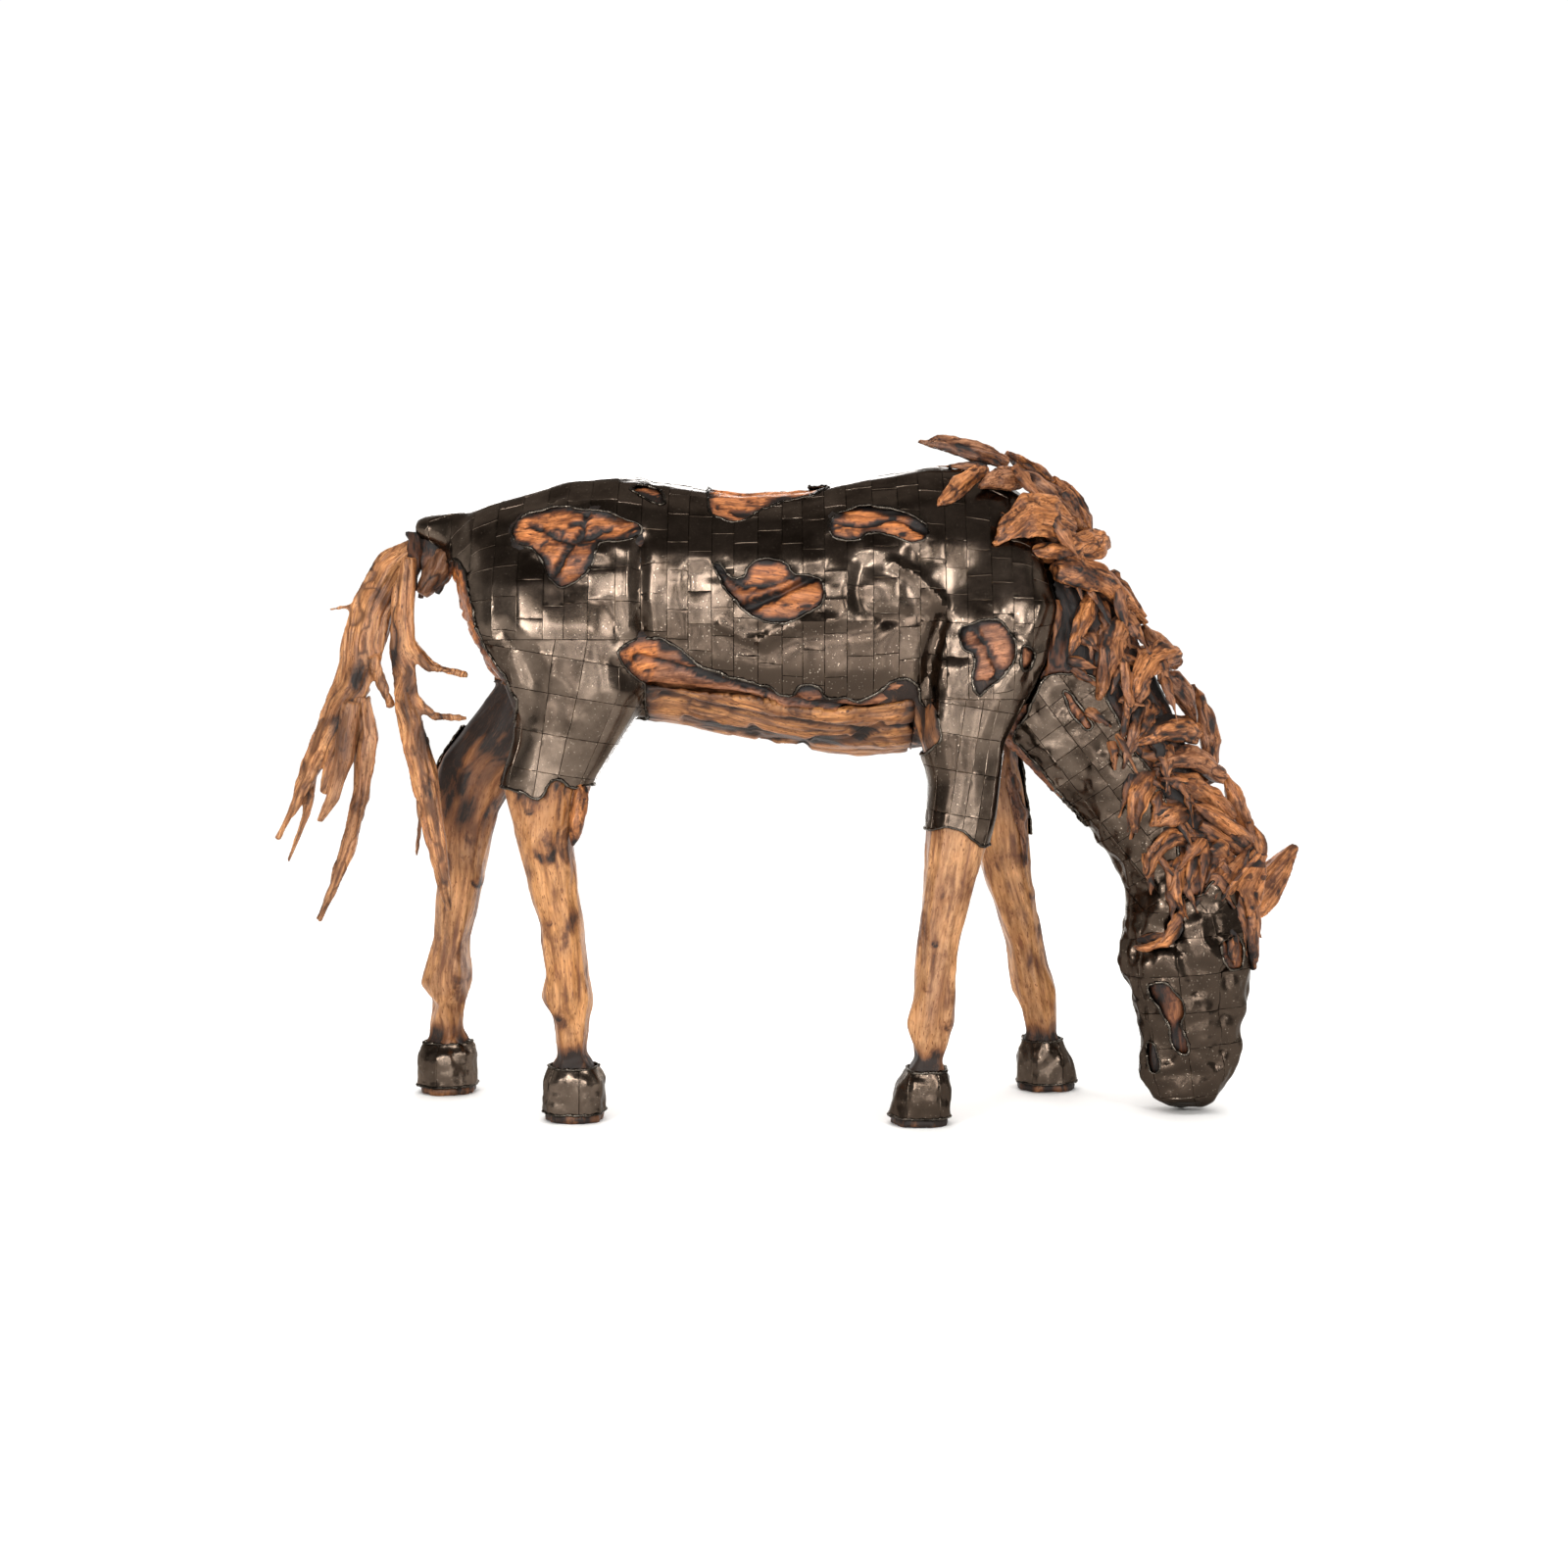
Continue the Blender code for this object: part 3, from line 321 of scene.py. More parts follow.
FAR_FORWARD, FAR_UP = 3.0, -2.5  # how the windows of the far side are moved against those of the near side


def moved(outline, forward=0.0, up=0.0):
    return [(x + forward, z + up) for x, z in outline]


# Each opening: its outline, and how far to the right and to the left it reaches across the horse
NEAR, SPINE, FAR = -0.6, 0.03, 0.6
openings = [(ragged(each, seed=11 + i), NEAR, -SPINE) for i, each in enumerate((
    HIP, CROUP, WITHERS_WINDOW, RIB, SHOULDER, SHOULDER_SLIT, FLANK, THIGH_HEM,
))]
openings += [(ragged(moved(each, FAR_FORWARD, FAR_UP), seed=41 + i), SPINE, FAR) for i, each in enumerate((
    HIP, WITHERS_WINDOW, SHOULDER,
))]
openings += [(ragged(each, seed=61 + i), NEAR, FAR) for i, each in enumerate((BELLY, SEAT, FORELEG_HEM))]
openings += [
    (ragged(moved(THIGH_HEM, -20.0), seed=71), 0.0, FAR),
    (ragged(SADDLE, seed=72), NEAR, 0.09),
    (ragged(INNER_LEGS, seed=73), -0.085, 0.155),
]


def sawn(nodes, within=None):
    """The solids of these nodes, cut off square at the corners of a box."""
    bm = bmesh.new()
    for name in nodes:
        bm.from_mesh(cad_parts[name].data)
    bmesh.ops.remove_doubles(bm, verts=bm.verts, dist=0.00003)
    for corner, outward in zip(within or (), (-1.0, 1.0)):
        for axis in range(3):
            facing = Vector([outward * (axis == other) for other in range(3)])
            bmesh.ops.bisect_plane(
                bm, geom=[*bm.verts, *bm.edges, *bm.faces], dist=0.00001, plane_co=corner, plane_no=facing,
                clear_outer=True,
            )
            bmesh.ops.holes_fill(bm, edges=[edge for edge in bm.edges if edge.is_boundary])
    return bm


def settled(blank):
    """The mesh that an object's modifiers or bevel give. The object is taken away."""
    graph = bpy.context.evaluated_depsgraph_get()
    made = bpy.data.meshes.new_from_object(blank.evaluated_get(graph))
    bpy.data.objects.remove(blank)
    return made


def melted(nodes, voxel, smoothing, within=None):
    """The solids of these nodes run together into one skin of small even faces."""
    blank = placed("blank", mesh_of(sawn(nodes, within), "blank"))
    remesh = blank.modifiers.new("even faces", "REMESH")
    remesh.mode = "VOXEL"
    remesh.voxel_size = voxel
    smooth = blank.modifiers.new("round", "SMOOTH")
    smooth.factor = 0.5
    smooth.iterations = smoothing
    return settled(blank)


def spots_of(mesh):
    values = np.empty(len(mesh.vertices) * 3)
    mesh.vertices.foreach_get("co", values)
    return values.reshape(-1, 3)


def facings_of(mesh):
    values = np.empty(len(mesh.vertices) * 3, np.float32)
    mesh.vertices.foreach_get("normal", values)
    return values.reshape(-1, 3).astype(float)


def noted(mesh, name, values):
    """Keeps one number, or one vector, for each vertex of a mesh, for its material to read."""
    kind, field = ("FLOAT", "value") if values.ndim == 1 else ("FLOAT_VECTOR", "vector")
    mesh.attributes.new(name, kind, "POINT").data.foreach_set(field, values.astype(np.float32).ravel())


def off_spot(points, x, z):
    """How far points lie from a spot that the layout gives, in side view."""
    return points[:, [0, 2]] - side([(x, z)])[0]


def grain_of(points, bends=9):
    """Coordinates that follow the grain of a bent piece: along it, and off its middle line both ways."""
    centre = points.mean(axis=0)
    axes = np.linalg.svd(points[:: max(1, len(points) // 4000)] - centre, full_matrices=False)[2]
    run = (points - centre) @ axes.T
    places = np.linspace(run[:, 0].min(), run[:, 0].max(), bends + 1)
    middles = (places[1:] + places[:-1]) / 2.0
    bins = np.clip(np.digitize(run[:, 0], places) - 1, 0, bends - 1)
    count = np.maximum(np.bincount(bins, minlength=bends), 1)
    for axis in (1, 2):
        line = np.bincount(bins, run[:, axis], bends) / count
        run[:, axis] -= np.interp(run[:, 0], middles, line)
    return run


def gashes(points, lines):
    """How deep the cracks of a list cut at each point. Each has its line, width and depth in centimetres."""
    wander = 0.006 * noise(points / 0.03, 91)
    cut = np.zeros(len(points))
    for line, width, depth in lines:
        off = apart(points[:, [0, 2]], side(line)) + wander * 0.6
        cut = np.maximum(cut, depth * CM * ease(off, width * CM, width * CM * 0.25))
    return cut


def carve(mesh, grain, flute, lump, crack=0.0, ledge=0.0, sunk=0.0, scorch_and_shade=0.0, soot=0.75, seed=1, tone=0.0):
    """Cuts lumps, flutes, split ledges and cracks into a blank. Flute is a width, a length and a depth, and
    lump a size and a height. What lies deep is noted as burnt, and so is what the fire has scorched. Painted
    shade, where some pieces lie hidden by others, is noted the same way and drawn as char."""
    points, facing = spots_of(mesh), facings_of(mesh)
    width, length, depth = flute
    warp = 0.35 * np.column_stack([noise(points / (2.2 * width), seed + i) for i in (1, 2, 3)])
    folds = np.abs(noise(grain / (length, width, width) + warp, seed + 4)) * 1.6
    finer = np.abs(noise(grain / (length * 0.5, width * 0.42, width * 0.42) + warp, seed + 5)) * 1.6
    split = ease(np.abs(noise(grain / (length * 1.6, width * 1.7, width * 1.7) + warp, seed + 6)), 0.055, 0.0)
    lift = lump[1] * noise(points / lump[0], seed + 7)
    lift += depth * (np.minimum(folds, 1.0) - 0.72) + 0.35 * depth * (np.minimum(finer, 1.0) - 0.6)
    lift += 0.0006 * noise(grain / (length * 0.3, 0.007, 0.007), seed + 8)
    layers = 2.4 * noise(grain / (length * 0.9, width * 1.5, width * 1.5) + warp, seed + 10)
    riser = layers - np.floor(layers)
    lift += ledge * (np.floor(layers) + ease(riser, 0.0, 0.3))
    lift -= crack * split
    burnt = soot * (ease(folds, 0.34, 0.02) + 0.5 * ease(finer, 0.2, 0.0)) + split * (1.0 if crack else 0.0)
    burnt += soot * (ledge > 0.0) * ease(riser, 0.34, 0.1) * 0.7
    # The fire's scorch, together with the painted shade given to the mane, the neck's crest and the tail's
    # hollows
    burnt += scorch_and_shade * (0.85 + 0.5 * noise(grain / (0.06, 0.02, 0.02), seed + 9))
    lift -= sunk
    mesh.vertices.foreach_set("co", (points + facing * lift[:, None]).ravel())
    noted(mesh, "grain", grain)
    noted(mesh, "burnt", np.clip(burnt, 0.0, 1.0))
    noted(mesh, "tone", tone + np.zeros(len(points)))


FIBRE_MM = 2.4  # real fibres are under 1 mm, and these are drawn as wide as they need to show


def oiled_teak(name, pale, honey, brown, char, streak_mm=7.0, roughness=0.42, burn_from=0.56, fibrous=1.0):
    """Reclaimed teak, brushed and oiled: long streaks with the grain, short dark pores, and scorched patches
    that end softly. Its sheen is that of rubbed oil, with a dry rough skin where it is charred."""
    made, tree, shader = new_finish(name)
    grain = added(tree, "Attribute", attribute_name="grain")
    # burnt holds charring, and on some pieces painted shade as well; both are drawn in the char colour
    burnt = added(tree, "Attribute", attribute_name="burnt")
    tone = added(tree, "Attribute", attribute_name="tone")
    place = added(tree, "TexCoord")
    wide, fine = 1000.0 / streak_mm, 1000.0 / FIBRE_MM
    vector = grain.outputs["Vector"]
    long = added(tree, "VectorMath", {0: vector, 1: (9.0, wide, wide)}, operation="MULTIPLY")
    streak = added(tree, "TexNoise", {
        "Vector": long.outputs[0], "Scale": 1.0, "Detail": 5.0, "Roughness": 0.62, "Distortion": 0.5,
    })
    short = added(tree, "VectorMath", {0: vector, 1: (34.0, fine, fine)}, operation="MULTIPLY")
    fibre = added(tree, "TexNoise", {
        "Vector": short.outputs[0], "Scale": 1.0, "Detail": 3.0, "Roughness": 0.6,
    })
    pitted = added(tree, "VectorMath", {0: vector, 1: (70.0, 260.0, 260.0)}, operation="MULTIPLY")
    pore = added(tree, "TexNoise", {"Vector": pitted.outputs[0], "Scale": 1.0, "Detail": 2.0})
    pores = added(tree, "MapRange", {0: pore.outputs["Fac"], 1: 0.60, 2: 0.68})
    mixed = added(tree, "VectorMath", {0: vector, 1: (0.35, 0.35, 0.35)}, operation="MULTIPLY")
    blurred = added(tree, "VectorMath", {0: place.outputs["Object"], 1: mixed.outputs[0]}, operation="ADD")
    drawn = added(tree, "VectorMath", {0: vector, 1: (9.0, 34.0, 34.0)}, operation="MULTIPLY")
    patch = added(tree, "TexNoise", {
        "Vector": blurred.outputs[0], "Scale": 11.0, "Detail": 5.0, "Roughness": 0.62,
    })
    stain = added(tree, "TexNoise", {
        "Vector": drawn.outputs[0], "Scale": 1.0, "Detail": 5.0, "Roughness": 0.6, "Distortion": 0.8,
    })
    figure = added(tree, "ValToRGB", {0: streak.outputs["Fac"]}, stops=(
        (0.30, linear(brown)), (0.46, linear(honey)), (0.62, linear(pale)), (0.80, linear(honey)),
    ))
    fibres = added(tree, "MapRange", {
        0: fibre.outputs["Fac"], 1: 0.3, 2: 0.7, 3: 1.0 - 0.36 * fibrous, 4: 1.0 + 0.22 * fibrous,
    })
    fire = added(tree, "Math", {0: patch.outputs["Fac"], 1: stain.outputs["Fac"]}, operation="ADD")
    bands = added(tree, "MapRange", {0: fire.outputs[0], 1: 0.78, 2: 1.22, 3: 1.34, 4: 0.62})
    depth = added(tree, "Math", {0: fibres.outputs[0], 1: bands.outputs[0]}, operation="MULTIPLY")
    shaded = added(tree, "HueSaturation", {"Color": figure.outputs["Color"], "Value": depth.outputs[0]})
    toned = added(tree, "MapRange", {0: tone.outputs["Fac"], 1: -1.0, 2: 1.0, 3: 0.55, 4: 1.45})
    greyed = added(tree, "MapRange", {0: tone.outputs["Fac"], 1: -1.0, 2: 0.0, 3: 0.82, 4: 1.0})
    lit = added(tree, "HueSaturation", {
        "Color": shaded.outputs["Color"], "Value": toned.outputs[0], "Saturation": greyed.outputs[0],
    })
    specked = added(tree, "MixRGB", {
        "Fac": pores.outputs[0], "Color1": lit.outputs["Color"], "Color2": linear(brown),
    })
    scorched = added(tree, "MapRange", {
        0: fire.outputs[0], 1: 2.0 * burn_from, 2: 2.0 * burn_from + 0.26, 3: 0.0, 4: 0.8,
    })
    both = added(tree, "Math", {0: scorched.outputs[0], 1: burnt.outputs["Fac"]}, operation="ADD")
    broken = added(tree, "MapRange", {0: fibre.outputs["Fac"], 1: 0.25, 2: 0.75, 3: 0.75, 4: 1.2})
    char_and_shade = added(
        tree, "Math", {0: both.outputs[0], 1: broken.outputs[0]}, operation="MULTIPLY", use_clamp=True
    )
    warmed = added(tree, "MapRange", {0: char_and_shade.outputs[0], 1: 0.0, 2: 0.5, 3: 0.0, 4: 0.85})
    toasted = added(tree, "MixRGB", {
        "Fac": warmed.outputs[0], "Color1": specked.outputs["Color"], "Color2": linear(brown),
    })
    charred = added(tree, "MapRange", {0: char_and_shade.outputs[0], 1: 0.35, 2: 0.95})
    seared = added(tree, "MixRGB", {
        "Fac": charred.outputs[0], "Color1": toasted.outputs["Color"], "Color2": linear(char),
    })
    rough = added(tree, "MapRange", {0: char_and_shade.outputs[0], 1: 0.0, 2: 1.0, 3: roughness, 4: 0.62})
    raised = added(tree, "Math", {0: streak.outputs["Fac"], 1: fibre.outputs["Fac"]}, operation="ADD")
    bump = added(tree, "Bump", {"Strength": 0.35, "Distance": 0.0016, "Height": raised.outputs[0]})
    tree.links.new(seared.outputs["Color"], shader.inputs["Base Color"])
    tree.links.new(rough.outputs[0], shader.inputs["Roughness"])
    tree.links.new(bump.outputs[0], shader.inputs["Normal"])
    shader.inputs["IOR"].default_value = 1.5
    shader.inputs["Specular IOR Level"].default_value = 0.3
    return made


def fitted(name, mesh, finish, slot, *nodes):
    """Adds a finished piece, which rides on the horse and stands for these nodes."""
    mesh.materials.clear()
    mesh.materials.append(finish)
    mesh.shade_smooth()
    piece = placed(name, mesh)
    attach(piece, "root")
    if nodes:
        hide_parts(*nodes)
    return piece


red_teak = oiled_teak("oiled teak root, scorched", "#b9733f", "#94572c", "#572c14", "#150e0a", burn_from=0.52)

# Cracks that run across the bare wood: a line in side view, its width and its depth, in centimetres
CRACKS = [
    ([(-43.6, 133.5), (-44.5, 129.8), (-47.5, 125.9), (-50.5, 120.4)], 0.8, 1.5),
    ([(-56.0, 131.5), (-50.0, 128.6), (-46.0, 127.6), (-38.0, 131.2)], 0.7, 0.8),
    ([(-12.0, 111.6), (-4.3, 114.7), (2.4, 117.7), (9.5, 121.4)], 1.3, 2.2),
    ([(-15.0, 122.6), (-8.9, 117.7), (-1.3, 118.4), (4.8, 121.8)], 0.8, 1.0),
    ([(41.4, 108.6), (44.6, 104.2), (46.6, 99.0), (45.0, 95.0)], 0.9, 1.1),
    ([(9.8, 131.6), (16.8, 131.2), (24.4, 133.0), (31.5, 130.2)], 0.8, 0.9),
    ([(-32.0, 102.4), (-19.4, 98.9), (-8.9, 95.3), (1.7, 93.0), (16.8, 90.4), (29.0, 92.7)], 0.9, 1.2),
    ([(-15.0, 135.6), (-7.0, 134.0), (3.0, 137.0)], 0.7, 0.9),
]
trunk = melted(["trunk"], voxel=0.0075, smoothing=5)
spots = spots_of(trunk)
bare = bareness(spots, openings)
seen_from_far = spots[:, 1] > 0.0
cut = gashes(spots - np.outer(seen_from_far, (FAR_FORWARD * CM, 0.0, FAR_UP * CM)), CRACKS)
at_legs = ease(spots[:, 2], 0.98, 0.92) * ((spots[:, 0] < -0.30) | (spots[:, 0] > 0.27))
upper = spots[:, 2] > 1.2
grain = np.column_stack((spots[:, 0], spots[:, 1], spots[:, 2] + 0.02 * np.sin(spots[:, 0] * 9.0)))
rims = 0.017 + 0.012 * noise(spots / 0.03, 22)
wedge = ease(distance_in(spots[:, [0, 2]], side(FLANK)), 0.01, -0.01)
carve(
    trunk, grain, flute=(0.030, 0.24, 0.004), lump=(0.10, 0.005), crack=0.002, ledge=0.003,
    sunk=0.004 + 0.016 * ease(bare, 0.004, 0.03) + cut + 0.014 * at_legs,
    scorch_and_shade=np.maximum(ease(bare, -rims, -0.003), ease(cut, 0.002, 0.006)) * (1.2 - 0.7 * wedge),
    soot=0.2, seed=21,
    tone=0.45 * upper + wedge - 0.5 * np.maximum(
        ease(spots[:, 2], 1.09, 1.03) * (1.0 - wedge), (spots[:, 0] > 0.3) * (spots[:, 2] < 1.2)
    ),
)
fitted("carved_trunk", trunk, red_teak, "body_wood", "trunk")


# Belly slab
# A long slab of pale root let in under the barrel, with sweeping flutes carved by hand. A dark seam parts it
# from the trunk.
pale_teak = oiled_teak(
    "oiled teak root, brown", "#b27b48", "#8a5830", "#532f18", "#19100a", streak_mm=9.0, burn_from=0.535
)

# Its flutes: a line in side view, its width and its depth, in centimetres
SWEEPS = [
    ([(-27.0, 94.2), (-11.9, 90.5), (4.8, 88.1), (18.4, 86.0), (28.9, 87.5)], 0.9, 0.9),
    ([(-22.5, 88.1), (-7.3, 85.1), (4.8, 83.6), (14.0, 84.2)], 1.0, 0.8),
    ([(-7.4, 86.0), (-5.4, 84.7), (4.3, 82.6), (15.1, 83.2), (21.6, 87.2)], 1.4, 1.3),
]
belly = melted(["belly_slab"], voxel=0.005, smoothing=5)
spots = spots_of(belly)
cut = gashes(spots, SWEEPS)
grain = spots + np.column_stack((0.0 * cut, 0.0 * cut, 0.05 * np.sin(spots[:, 0] * 5.0 + 1.0)))
ends = ease(np.abs(spots[:, 0] + 0.02), 0.24, 0.33) + ease(spots[:, 2], 0.93, 0.99)
carve(
    belly, grain, flute=(0.042, 0.60, 0.004), lump=(0.12, 0.004), ledge=0.003, sunk=cut,
    scorch_and_shade=0.9 * ease(cut, 0.001, 0.009) + 0.9 * ends, soot=0.3, seed=31, tone=0.1,
)
fitted("carved_belly_slab", belly, pale_teak, "body_wood", "belly_slab")


# Neck and head
# One bent mass of teak root, charred black at the nose. Along the crest under the mane it is darkened with
# painted shade, for the shadowed gaps between the locks. It shows between the locks and in the windows of the
# neck, cheek, jaw and eye.
def wall_of(bm):
    """A form to measure from. The bmesh is freed."""
    wall = BVHTree.FromBMesh(bm)
    bm.free()
    return wall


bm = bmesh.new()
bm.from_mesh(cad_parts["trunk"].data)
trunk_wall = wall_of(bm)
NECK_PLATED = [
    (52.0, 84.0), (58.0, 98.0), (64.4, 98.8), (69.6, 98.0), (77.5, 83.0), (84.0, 74.0), (88.0, 62.0),
    (88.5, 46.8), (70.0, 46.8), (70.0, 63.0), (60.0, 75.0),
]
NECK_SLIT = [(62.0, 95.4), (63.6, 95.2), (69.4, 86.8), (67.6, 85.4), (64.4, 89.4)]
CHEEK = [
    (80.9, 28.6), (83.4, 29.8), (84.5, 30.2), (86.0, 28.8), (88.9, 25.7), (89.3, 23.0), (88.6, 20.2),
    (90.2, 16.4), (90.6, 13.3), (88.0, 13.3), (86.4, 16.0), (85.8, 20.4), (84.0, 23.5), (81.8, 25.9),
]
JAW = [(81.2, 15.6), (83.0, 16.0), (84.6, 10.4), (83.4, 8.6), (82.2, 8.8)]
EYE = [(97.0, 38.9), (101.9, 40.0), (103.2, 37.4), (103.0, 33.0), (100.3, 31.9), (98.1, 33.2)]
HEAD_SPINE = 0.045
neck_windows = [(ragged(NECK_SLIT, 0.002, seed=81), NEAR, -SPINE)]
face_windows = [
    (ragged(CHEEK, 0.002, seed=82), NEAR, -HEAD_SPINE), (ragged(JAW, 0.001, seed=83), NEAR, -HEAD_SPINE),
    (ragged(EYE, 0.001, seed=84), NEAR, -HEAD_SPINE), (ragged(CHEEK, 0.002, seed=85), HEAD_SPINE, FAR),
]
neck_outline = ragged(NECK_PLATED, 0.003, seed=86)
HEAD_TOP = side([(0.0, 50.5)])[0][1]


def off_trunk(points):
    """How far each point stands clear of the trunk, capped at 5 cm."""
    found = [trunk_wall.find_nearest(Vector(point)) for point in points]
    away = [
        distance if (Vector(point) - spot).dot(normal) > 0.0 else -distance
        for point, (spot, normal, _, distance) in zip(points, found)
    ]
    return np.clip(np.array(away), -0.05, 0.05)


def throat_field(points):
    """Distance from the border of the throat's plating: below zero where the neck is bare."""
    inside = -distance_in(points[:, [0, 2]], neck_outline)
    return np.minimum(np.minimum(inside, bareness(points, neck_windows)), off_trunk(points) - 0.012)


def face_field(points):
    """The same for the plating of the face, which ends in a torn line across the brow."""
    brow = HEAD_TOP + 0.018 * noise(points / 0.045, 87)
    return np.minimum(brow - points[:, 2], bareness(points, face_windows))


def head_field(points):
    """The same for both of them together."""
    return np.maximum(throat_field(points), face_field(points))


neck = melted(["neck_and_head"], voxel=0.0065, smoothing=4)
spots = spots_of(neck)
covered = ease(head_field(spots), -0.004, 0.012)
height = spots[:, 2]
# Painted shade: the crest darkens under the mane, where the gaps between the locks lie in shadow
crest_shade = ease((spots[:, 0] - 0.62) * 0.83 + (height - 0.98) * 0.55, -0.05, 0.05) * ease(height, 0.40, 0.50)
carve(
    neck, grain_of(spots), flute=(0.022, 0.18, 0.005), lump=(0.06, 0.003), crack=0.008,
    sunk=0.003 + 0.012 * covered,
    scorch_and_shade=0.35 + 0.75 * crest_shade + 0.3 * (height < 0.36) + 0.4 * ease(height, 0.27, 0.17), seed=41, tone=-0.2,
)
fitted("carved_neck_and_head", neck, red_teak, "body_wood", "neck_and_head")


# Legs
# Four lengths of straight-grained honey teak, shaped smooth at cannon and joints, with knots and short dark
# flecks. Each ends in a foot whose pale sole stands proud under a steel hoof.
honey_teak = oiled_teak(
    "oiled honey teak", "#c08a58", "#a4703f", "#6f4020", "#21140c", streak_mm=12.0, roughness=0.38,
    burn_from=0.51, fibrous=0.5,
)
LEG_TONES = {"near_hind_leg": 0.05, "far_hind_leg": -0.15, "near_fore_leg": -0.25, "far_fore_leg": -0.1}
# Knots in side view: place and size in centimetres
KNOTS = {
    "near_hind_leg": ((-52.4, 60.4, 2.3), (-56.0, 68.6, 0.8), (-49.6, 22.6, 0.7), (-51.5, 44.0, 0.7)),
    "far_hind_leg": ((-72.0, 50.0, 1.2), (-75.4, 28.0, 1.6), (-70.5, 36.0, 0.8)),
    "near_fore_leg": ((35.4, 50.2, 1.1), (33.0, 40.0, 0.8), (36.6, 22.0, 1.4), (31.4, 30.0, 0.9)),
    "far_fore_leg": ((59.0, 47.0, 1.2), (63.0, 36.0, 0.9), (66.5, 24.0, 1.3)),
}
for index, (name, tone) in enumerate(LEG_TONES.items()):
    low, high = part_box(name)
    edge = 0.0 if name.startswith("near") else 0.7
    within = (
        Vector((low.x - 0.05, 0.005 if edge else -0.7, -0.1)), Vector((high.x + 0.05, edge or -0.005, 1.0)),
    )
    leg = melted(["trunk", name], voxel=0.0047, smoothing=9, within=within)
    spots = spots_of(leg)
    height = spots[:, 2]
    inward = np.minimum(spots[:, 0] - within[0].x, within[1].x - spots[:, 0])
    inward = np.minimum(np.minimum(inward, 1.0 - height), np.abs(spots[:, 1]) - 0.005)
    under_steel = ease(bareness(spots, openings), -0.004, 0.012) * (height > 0.5)
    in_hoof = ease(height, 0.128, 0.112) * ease(height, 0.010, 0.018)
    scorch_and_shade = 0.95 * ease(height, 0.19, 0.125) + 0.3 * ease(height, 0.56, 0.74)
    scorch_and_shade += 0.9 * ease(height, 0.76, 0.88)
    scorch_and_shade += (name == "far_hind_leg") * ease(height + 0.5 * (spots[:, 0] + 0.74), 0.54, 0.66) * (
        0.6 + 0.9 * noise(spots / (0.07, 0.07, 0.16), 57)
    )
    knob = np.zeros(len(spots))
    for x, z, reach in KNOTS[name]:
        off = off_spot(spots, x, z) / (reach * CM) * (1.0, 0.75)
        away = np.hypot(*off.T) + 0.25 * noise(spots / 0.012, 58)
        knob += 0.0026 * np.exp(-(away**2)) * (reach > 1.0)
        ring = np.exp(-(((away - 0.9) / 0.3) ** 2)) * ease(off[:, 1], 0.6, -0.6)
        scorch_and_shade += 0.8 * ring + 0.3 * ease(away, 0.9, 0.2)
    carve(
        leg, grain_of(spots), flute=(0.034, 0.40, 0.0018), lump=(0.055, 0.0022),
        sunk=0.0005 - knob + 0.007 * under_steel + 0.003 * in_hoof
        + 0.03 * ease(inward, 0.03, 0.0) * (height > 0.8),
        scorch_and_shade=scorch_and_shade, soot=0.25, seed=51 + 10 * index, tone=tone,
    )
    spots = spots_of(leg)
    spots[:, 2] = np.maximum(spots[:, 2], 0.0)
    leg.vertices.foreach_set("co", spots.ravel())
    fitted("carved_" + name, leg, honey_teak, "leg_wood", name)


# Trunk plating
# Mild steel plates about 50 by 80 mm, bent and hammered over the wood and welded edge to edge: in upright
# strips round the barrel, and in rings down the legs. The seams are ground to grooves, and heat has left the
# steel brown.
SHEET_OFF = 0.0060  # the outer face of the plates, above the wood
SEAM_WIDTH = 0.0009
SEAM_DEPTH = 0.0010
PLATE_WIDTH = 0.052
PLATE_LENGTH = 0.082
RIM_DEPTH = 0.0035  # how deep the plating looks at its borders
BEAD_RADIUS = 0.0036
BARREL_AXIS = Vector((0.0, 0.0, 1.13))
BARREL_RADIUS = 0.28
LIMB_RADIUS = 0.105


def seam_cut(bm, faces, point, facing, reach=0.014):
    """Parts faces along a plane and marks the cut as a seam. Returns them with the new ones."""
    near = [face for face in faces if abs((face.calc_center_median() - point).dot(facing)) < reach]
    parts = set(near)
    for face in near:
        parts.update(face.edges)
        parts.update(face.verts)
    cut = bmesh.ops.bisect_plane(bm, geom=list(parts), dist=0.0006, plane_co=point, plane_no=facing)
    for part in cut["geom_cut"]:
        if isinstance(part, bmesh.types.BMEdge):
            part.seam = True
    return faces | {part for part in cut["geom"] if isinstance(part, bmesh.types.BMFace)}


def strips_cut(bm, faces, facing, width, rng, spread=0.14):
    """Cuts faces into strips that lie side by side across the facing direction."""
    facing = facing.normalized()
    reached = [face.calc_center_median().dot(facing) for face in faces]
    at = min(reached) + width * rng.uniform(0.4, 0.9)
    strips, rest = [], set(faces)
    while at < max(reached):
        rest = seam_cut(bm, rest, facing * at, facing)
        strip = {face for face in rest if face.calc_center_median().dot(facing) < at}
        rest -= strip
        strips.append(strip)
        at += width * rng.uniform(1.0 - spread, 1.0 + spread)
    return [strip for strip in (*strips, rest) if strip]


def round_cut(bm, faces, centre, axis, step, rng):
    """Cuts faces that go round an axis by planes through it, a step of angle apart. Returns them all."""
    across = axis.orthogonal().normalized()
    other = axis.cross(across).normalized()
    angle = first = rng.uniform(0.0, step)
    while angle < first + 2.0 * math.pi - 0.4 * step:
        outward = across * math.cos(angle) + other * math.sin(angle)
        facing = other * math.cos(angle) - across * math.sin(angle)
        half = {face for face in faces if (face.calc_center_median() - centre).dot(outward) > 0.0}
        faces = faces | seam_cut(bm, half, centre, facing)
        angle += step * rng.uniform(0.8, 1.2)
    return faces


